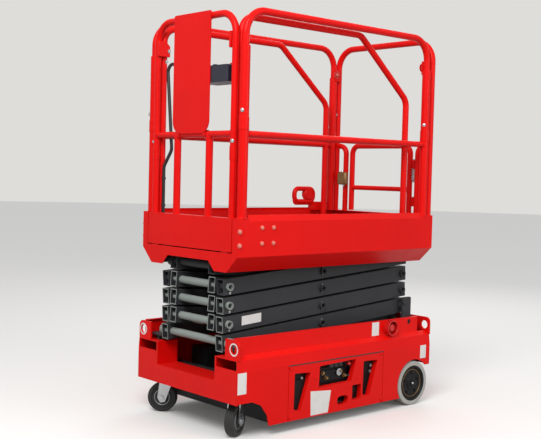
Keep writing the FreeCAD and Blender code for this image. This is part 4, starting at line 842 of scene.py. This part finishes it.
casterSettings = {
    # swivel at rest, in degrees
    "turns": {"left": 25.0, "right": -48.0},
    "pivot": (560, 262, 0),
    "trail": 36,
    "axleZ": 72,
    # cheek's outer face from the wheel's middle
    "cheekFace": 32.5,
    # radius, thickness, sides
    "axleWasher": (15, 2, 24),
    "axleNut": (12.5, 6, 6),
    # height, radius, thickness, sides
    "kingpinWasher": (238, 22, 3, 24),
    "kingpinNut": (241, 17, 9, 6),
    # height or distance from the wheel's middle, ring's radius, its section's radius
    "race": (213, 41, 3.0),
    "rims": (17.2, 37, 2.2),
}
raceZ, raceRadius, raceSection = casterSettings["race"]
rimOut, rimRadius, rimSection = casterSettings["rims"]
for side, sign in (("left", 1), ("right", -1)):
    turn = Matrix.Rotation(math.radians(casterSettings["turns"][side]), 3, "Z")
    pivot = Vector(mirroredPoint(casterSettings["pivot"], sign))
    axle = turn @ Vector((0, 1, 0))
    trail = turn @ Vector((casterSettings["trail"], 0, 0))
    lift = Vector((0, 0, casterSettings["axleZ"]))
    build = bmesh.new()
    for way in (1, -1):
        face = pivot + trail + axle * way * casterSettings["cheekFace"] + lift
        radius, thickness, sides = casterSettings["axleWasher"]
        addRod(build, face, axle * way, radius, thickness, sides)
        addRod(build, face + axle * way * thickness, axle * way, *casterSettings["axleNut"])
    for height, radius, thickness, sides in (casterSettings["kingpinWasher"], casterSettings["kingpinNut"]):
        addRod(build, pivot + Vector((0, 0, height)), upward, radius, thickness, sides)
    makePiece("casterNuts." + side, build, zinc, "caster_fork_" + side)
    build = bmesh.new()
    addRing(build, pivot + Vector((0, 0, raceZ)), upward, raceRadius, raceSection, 40, 8)
    makePiece("casterRace." + side, build, metals["turnedSteel"], "caster_fork_" + side)
    build = bmesh.new()
    for way in (1, -1):
        addRing(build, pivot + trail + axle * way * rimOut + lift, axle, rimRadius, rimSection, 40, 8)
    makePiece("casterRims." + side, build, metals["galvanisedSteel"], "caster_wheel_" + side)
print("wheel details made")

# Emergency stop: black collar in the guard ring; its black paints the shade inside the ring

makeFittings({
    "stopCollar": (moulded["blackMouldedAbs"], "chassis", None, 0.0, (1,), (
        ("turned", (-362, 345, 417.8), outward, ((4, 12), (4, 24), (10, 24), (12, 20), (12, 12)), 32),
    )),
})

# Weld beads round the foot of every post and round the cross tubes' ends

weldSettings = {
    # name: body, bead radius, places (point, axis, tube radius)
    "sidePostWelds": ("platform", 2.6, [((x, s * 338, 987), (0, 0, 1), 22) for x in (632, -608)
                                        for s in (1, -1)]),
    "rearPostWelds": ("platform", 2.4, [((-652, s * y, 987), (0, 0, 1), r) for y, r in ((338, 17), (262, 15))
                                        for s in (1, -1)]),
    "frontPostWelds": ("extension", 2.4, [((648, s * 290, 840), (0, 0, 1), 16) for s in (1, -1)]
                       + [((648, s * 120, 840), (0, 0, 1), 17) for s in (1, -1)]
                       + [((x, s * 290, 840), (0, 0, 1), 16) for x in (615.5, -507) for s in (1, -1)]),
    "midRailWelds": ("platform", 2.2, [((x, s * 338, 1357), (1, 0, 0), 15) for x in (609, -585)
                                       for s in (1, -1)]),
    "frontMidWelds": ("extension", 2.2, [((648, s * 273, 1357), (0, 1, 0), 15) for s in (1, -1)]
                      + [((x, s * 290, 1357), (1, 0, 0), 15) for x in (598.5, -490) for s in (1, -1)]
                      + [((648, s * 120, 1340), (0, 0, 1), 17) for s in (1, -1)]),
    "gateWelds": ("gate", 2.0, [((-652, y, 1119), (0, 1, 0), 13) for y in (194, -196)]),
}
for name, (body, bead, places) in weldSettings.items():
    build = bmesh.new()
    for point, axis, radius in places:
        addRing(build, point, axis, radius + bead * 0.3, bead, 28, 6)
    makePiece(name, build, red, body)
print("weld beads made:", len(weldSettings))

# Lips folded in along the side toe boards, longer on the left

toeLips = {
    # side: low and high corners
    1: ((-575, 335, 950), (600, 337, 983)),
    -1: ((-445, 335, 950), (600, 337, 983)),
}
build = bmesh.new()
for sign, (low, high) in toeLips.items():
    addBlock(build, mirroredPoint(low, sign), mirroredPoint(high, sign))
makePiece("toeLips", build, red, "platform")

# Fold joints: a block across the front posts' inner faces, sleeves on the posts, plates on the rear ones

foldJoint = {
    # outline (x, z), inner y and thickness of the front blocks
    "block": ((599, 1734), (665, 1734), (665, 1806), (621, 1806), (599, 1784)),
    "blockY": (262, 14),
    # name, body, post (x, y), sleeve radius, low and high ends
    "sleeves": (("frontSleeves", "platform", (632, 338), 24.0, 1373, 1430),
                ("rearSleeves", "platform", (-608, 338), 24.0, 1373, 1430),
                ("extensionSleeves", "extension", (648, 290), 18.0, 1241, 1302)),
    "wall": 4,
    "chamfer": 1,
}
innerY, blockThickness = foldJoint["blockY"]
build = bmesh.new()
for sign in (1, -1):
    addPlate(build, [(x, sign * innerY, z) for x, z in foldJoint["block"]], (0, sign * blockThickness, 0))
makePiece("foldBlocks", build, red, "extension", 1.5)
makeFittings({
    "foldPlates": (red, "platform", "red_enamel", 1.5, (1, -1), (
        ("block", (-632, 311, 1720), (-597, 322, 1790)),
    )),
})
for name, body, (x, y), radius, low, high in foldJoint["sleeves"]:
    length = high - low
    inner = radius - foldJoint["wall"]
    edge = foldJoint["chamfer"]
    profile = ((0, inner), (0, radius - edge), (edge, radius),
               (length - edge, radius), (length, radius - edge), (length, inner))
    build = bmesh.new()
    for sign in (1, -1):
        addTurned(build, (x, sign * y, low), upward, profile, 36)
    makePiece(name, build, red, body)

# Washers of the rear fold joints, gate latch on the right stub, closer spring at the hinge

latchFittings = {
    "foldWashers": (moulded["redMouldedNylon"], "platform", None, 0.0, (1, -1), (
        ("turned", (-606, 311, 1757), (0, -1, 0), ((0, 12), (0, 23), (2, 23), (2, 12)), 32),
    )),
    "gateLatch": (metals["agedBronze"], "platform", None, 9.0, (1,), (
        ("block", (-634, -288, 1133), (-606, -222, 1204)),
    )),
    "latchBracket": (red, "platform", "red_enamel", 1.0, (1,), (
        ("block", (-637, -318, 1150), (-631, -285, 1206)),
        ("block", (-631, -291, 1150), (-615, -285, 1206)),
    )),
    "latchPin": (zinc, "platform", None, 0.0, (1,), (
        ("rod", (-622, -250, 1133), (0, 0, -1), 5, 9, 16),
        ("rod", (-622, -260, 1204), upward, 7, 9, 20, 5),
    )),
}
makeFittings(latchFittings)
springSettings = {
    # x, y, lowest z
    "foot": (-652, 236, 1162),
    "radius": 11,
    "wire": 2.0,
    "turns": 5,
    "stepsPerTurn": 18,
    "risePerRadian": 2.2,
    # start z, radius, length of the pin inside
    "pin": (1158, 5.5, 80),
}
springX, springY, springZ = springSettings["foot"]
pinZ, pinRadius, pinLength = springSettings["pin"]
coil = []
for k in range(springSettings["turns"] * springSettings["stepsPerTurn"] + 1):
    angle = math.radians(360 / springSettings["stepsPerTurn"] * k)
    coil.append(Vector((springX + springSettings["radius"] * math.cos(angle),
                        springY + springSettings["radius"] * math.sin(angle),
                        springZ + springSettings["risePerRadian"] * angle)))
build = bmesh.new()
addTube(build, coil, springSettings["wire"], 8)
addRod(build, (springX, springY, pinZ), upward, pinRadius, pinLength, 16)
makePiece("hingeSpring", build, zinc, "platform")
print("fold joints and gate fittings made")

# Grip over the extension lock's handle

lockGrip = {
    "corners": ((-466, 1034), (-466, 1106), (-322, 1106), (-322, 1034)),
    "y": -337,
    "bend": 30,
    "radius": 13.5,
    # x, z, radius, half width, rounding
    "knob": (-424, 1076, 34, 16, 5),
}
build = bmesh.new()
loop = roundedCorners(lockGrip["corners"], lockGrip["bend"])
addTube(build, [Vector((x, lockGrip["y"], z)) for x, z in loop + loop[:1]], lockGrip["radius"])
knobX, knobZ, knobRadius, knobHalf, knobEdge = lockGrip["knob"]
knobProfile = ((0, 0.1), (0, knobRadius - knobEdge), (knobEdge, knobRadius),
               (2 * knobHalf - knobEdge, knobRadius), (2 * knobHalf, knobRadius - knobEdge),
               (2 * knobHalf, 0.1))
addTurned(build, (knobX, lockGrip["y"] - knobHalf, knobZ), outward, knobProfile, 32)
makePiece("lockGrip", build, red, "platform")

# Control box: joystick, stop button, switches and strain relief; clips on the lead, clamps on the plate

stickProfile = ((0, 0.1), (0, 20), (4, 19), (6, 13), (11, 13), (14, 9), (14, 0.1))
buttonProfile = ((0, 0.1), (0, 12), (5, 12), (5, 17), (9, 18), (12, 13), (13, 0.1))
glandProfile = ((0, 8.2), (0, 15), (6, 15), (8, 12), (20, 12), (26, 9), (26, 8.2))
clipProfile = ((-6, 8.2), (-6, 10.5), (6, 10.5), (6, 8.2))
clampProfile = ((-9, 16.2), (-9, 19.5), (9, 19.5), (9, 16.2))
controlFittings = {
    "joystick": (moulded["blackRubber"], "extension", "control_plastic", 0.0, (1,), (
        ("turned", (600, 90, 1663), upward, stickProfile, 28),
    )),
    "boxStopButton": (moulded["redMouldedNylon"], "extension", None, 0.0, (1,), (
        ("turned", (600, 220, 1663), upward, buttonProfile, 28),
    )),
    "boxSwitches": (zinc, "extension", None, 0.0, (1,), [
        shape for y in (130, 155, 180) for shape in (
            ("rod", (600, y, 1663), upward, 8, 3, 6),
            ("rod", (600, y, 1666), (0.25, 0, 1), 2.6, 7, 12, 3.4),
        )
    ]),
    "leadGland": (moulded["blackMouldedAbs"], "extension", "control_plastic", 0.0, (1,), (
        ("turned", (622, 44, 1643), (0, -1, 0), glandProfile, 24),
    )),
    "leadClips": (moulded["blackMouldedAbs"], "extension", None, 0.0, (1,), [
        shape for z in (880, 1020, 1150) for shape in (
            ("turned", (622, -264, z), upward, clipProfile, 20),
            ("block", (612, -277, z - 5), (622, -272, z + 5)),
        )
    ]),
    "plateClamps": (red, "extension", "red_enamel", 0.0, (1,), [
        ("turned", (648, y, z), outward, clampProfile, 28) for z in (1890, 1357) for y in (-96, 96)
    ]),
}
makeFittings(controlFittings)
print("control box fittings made")
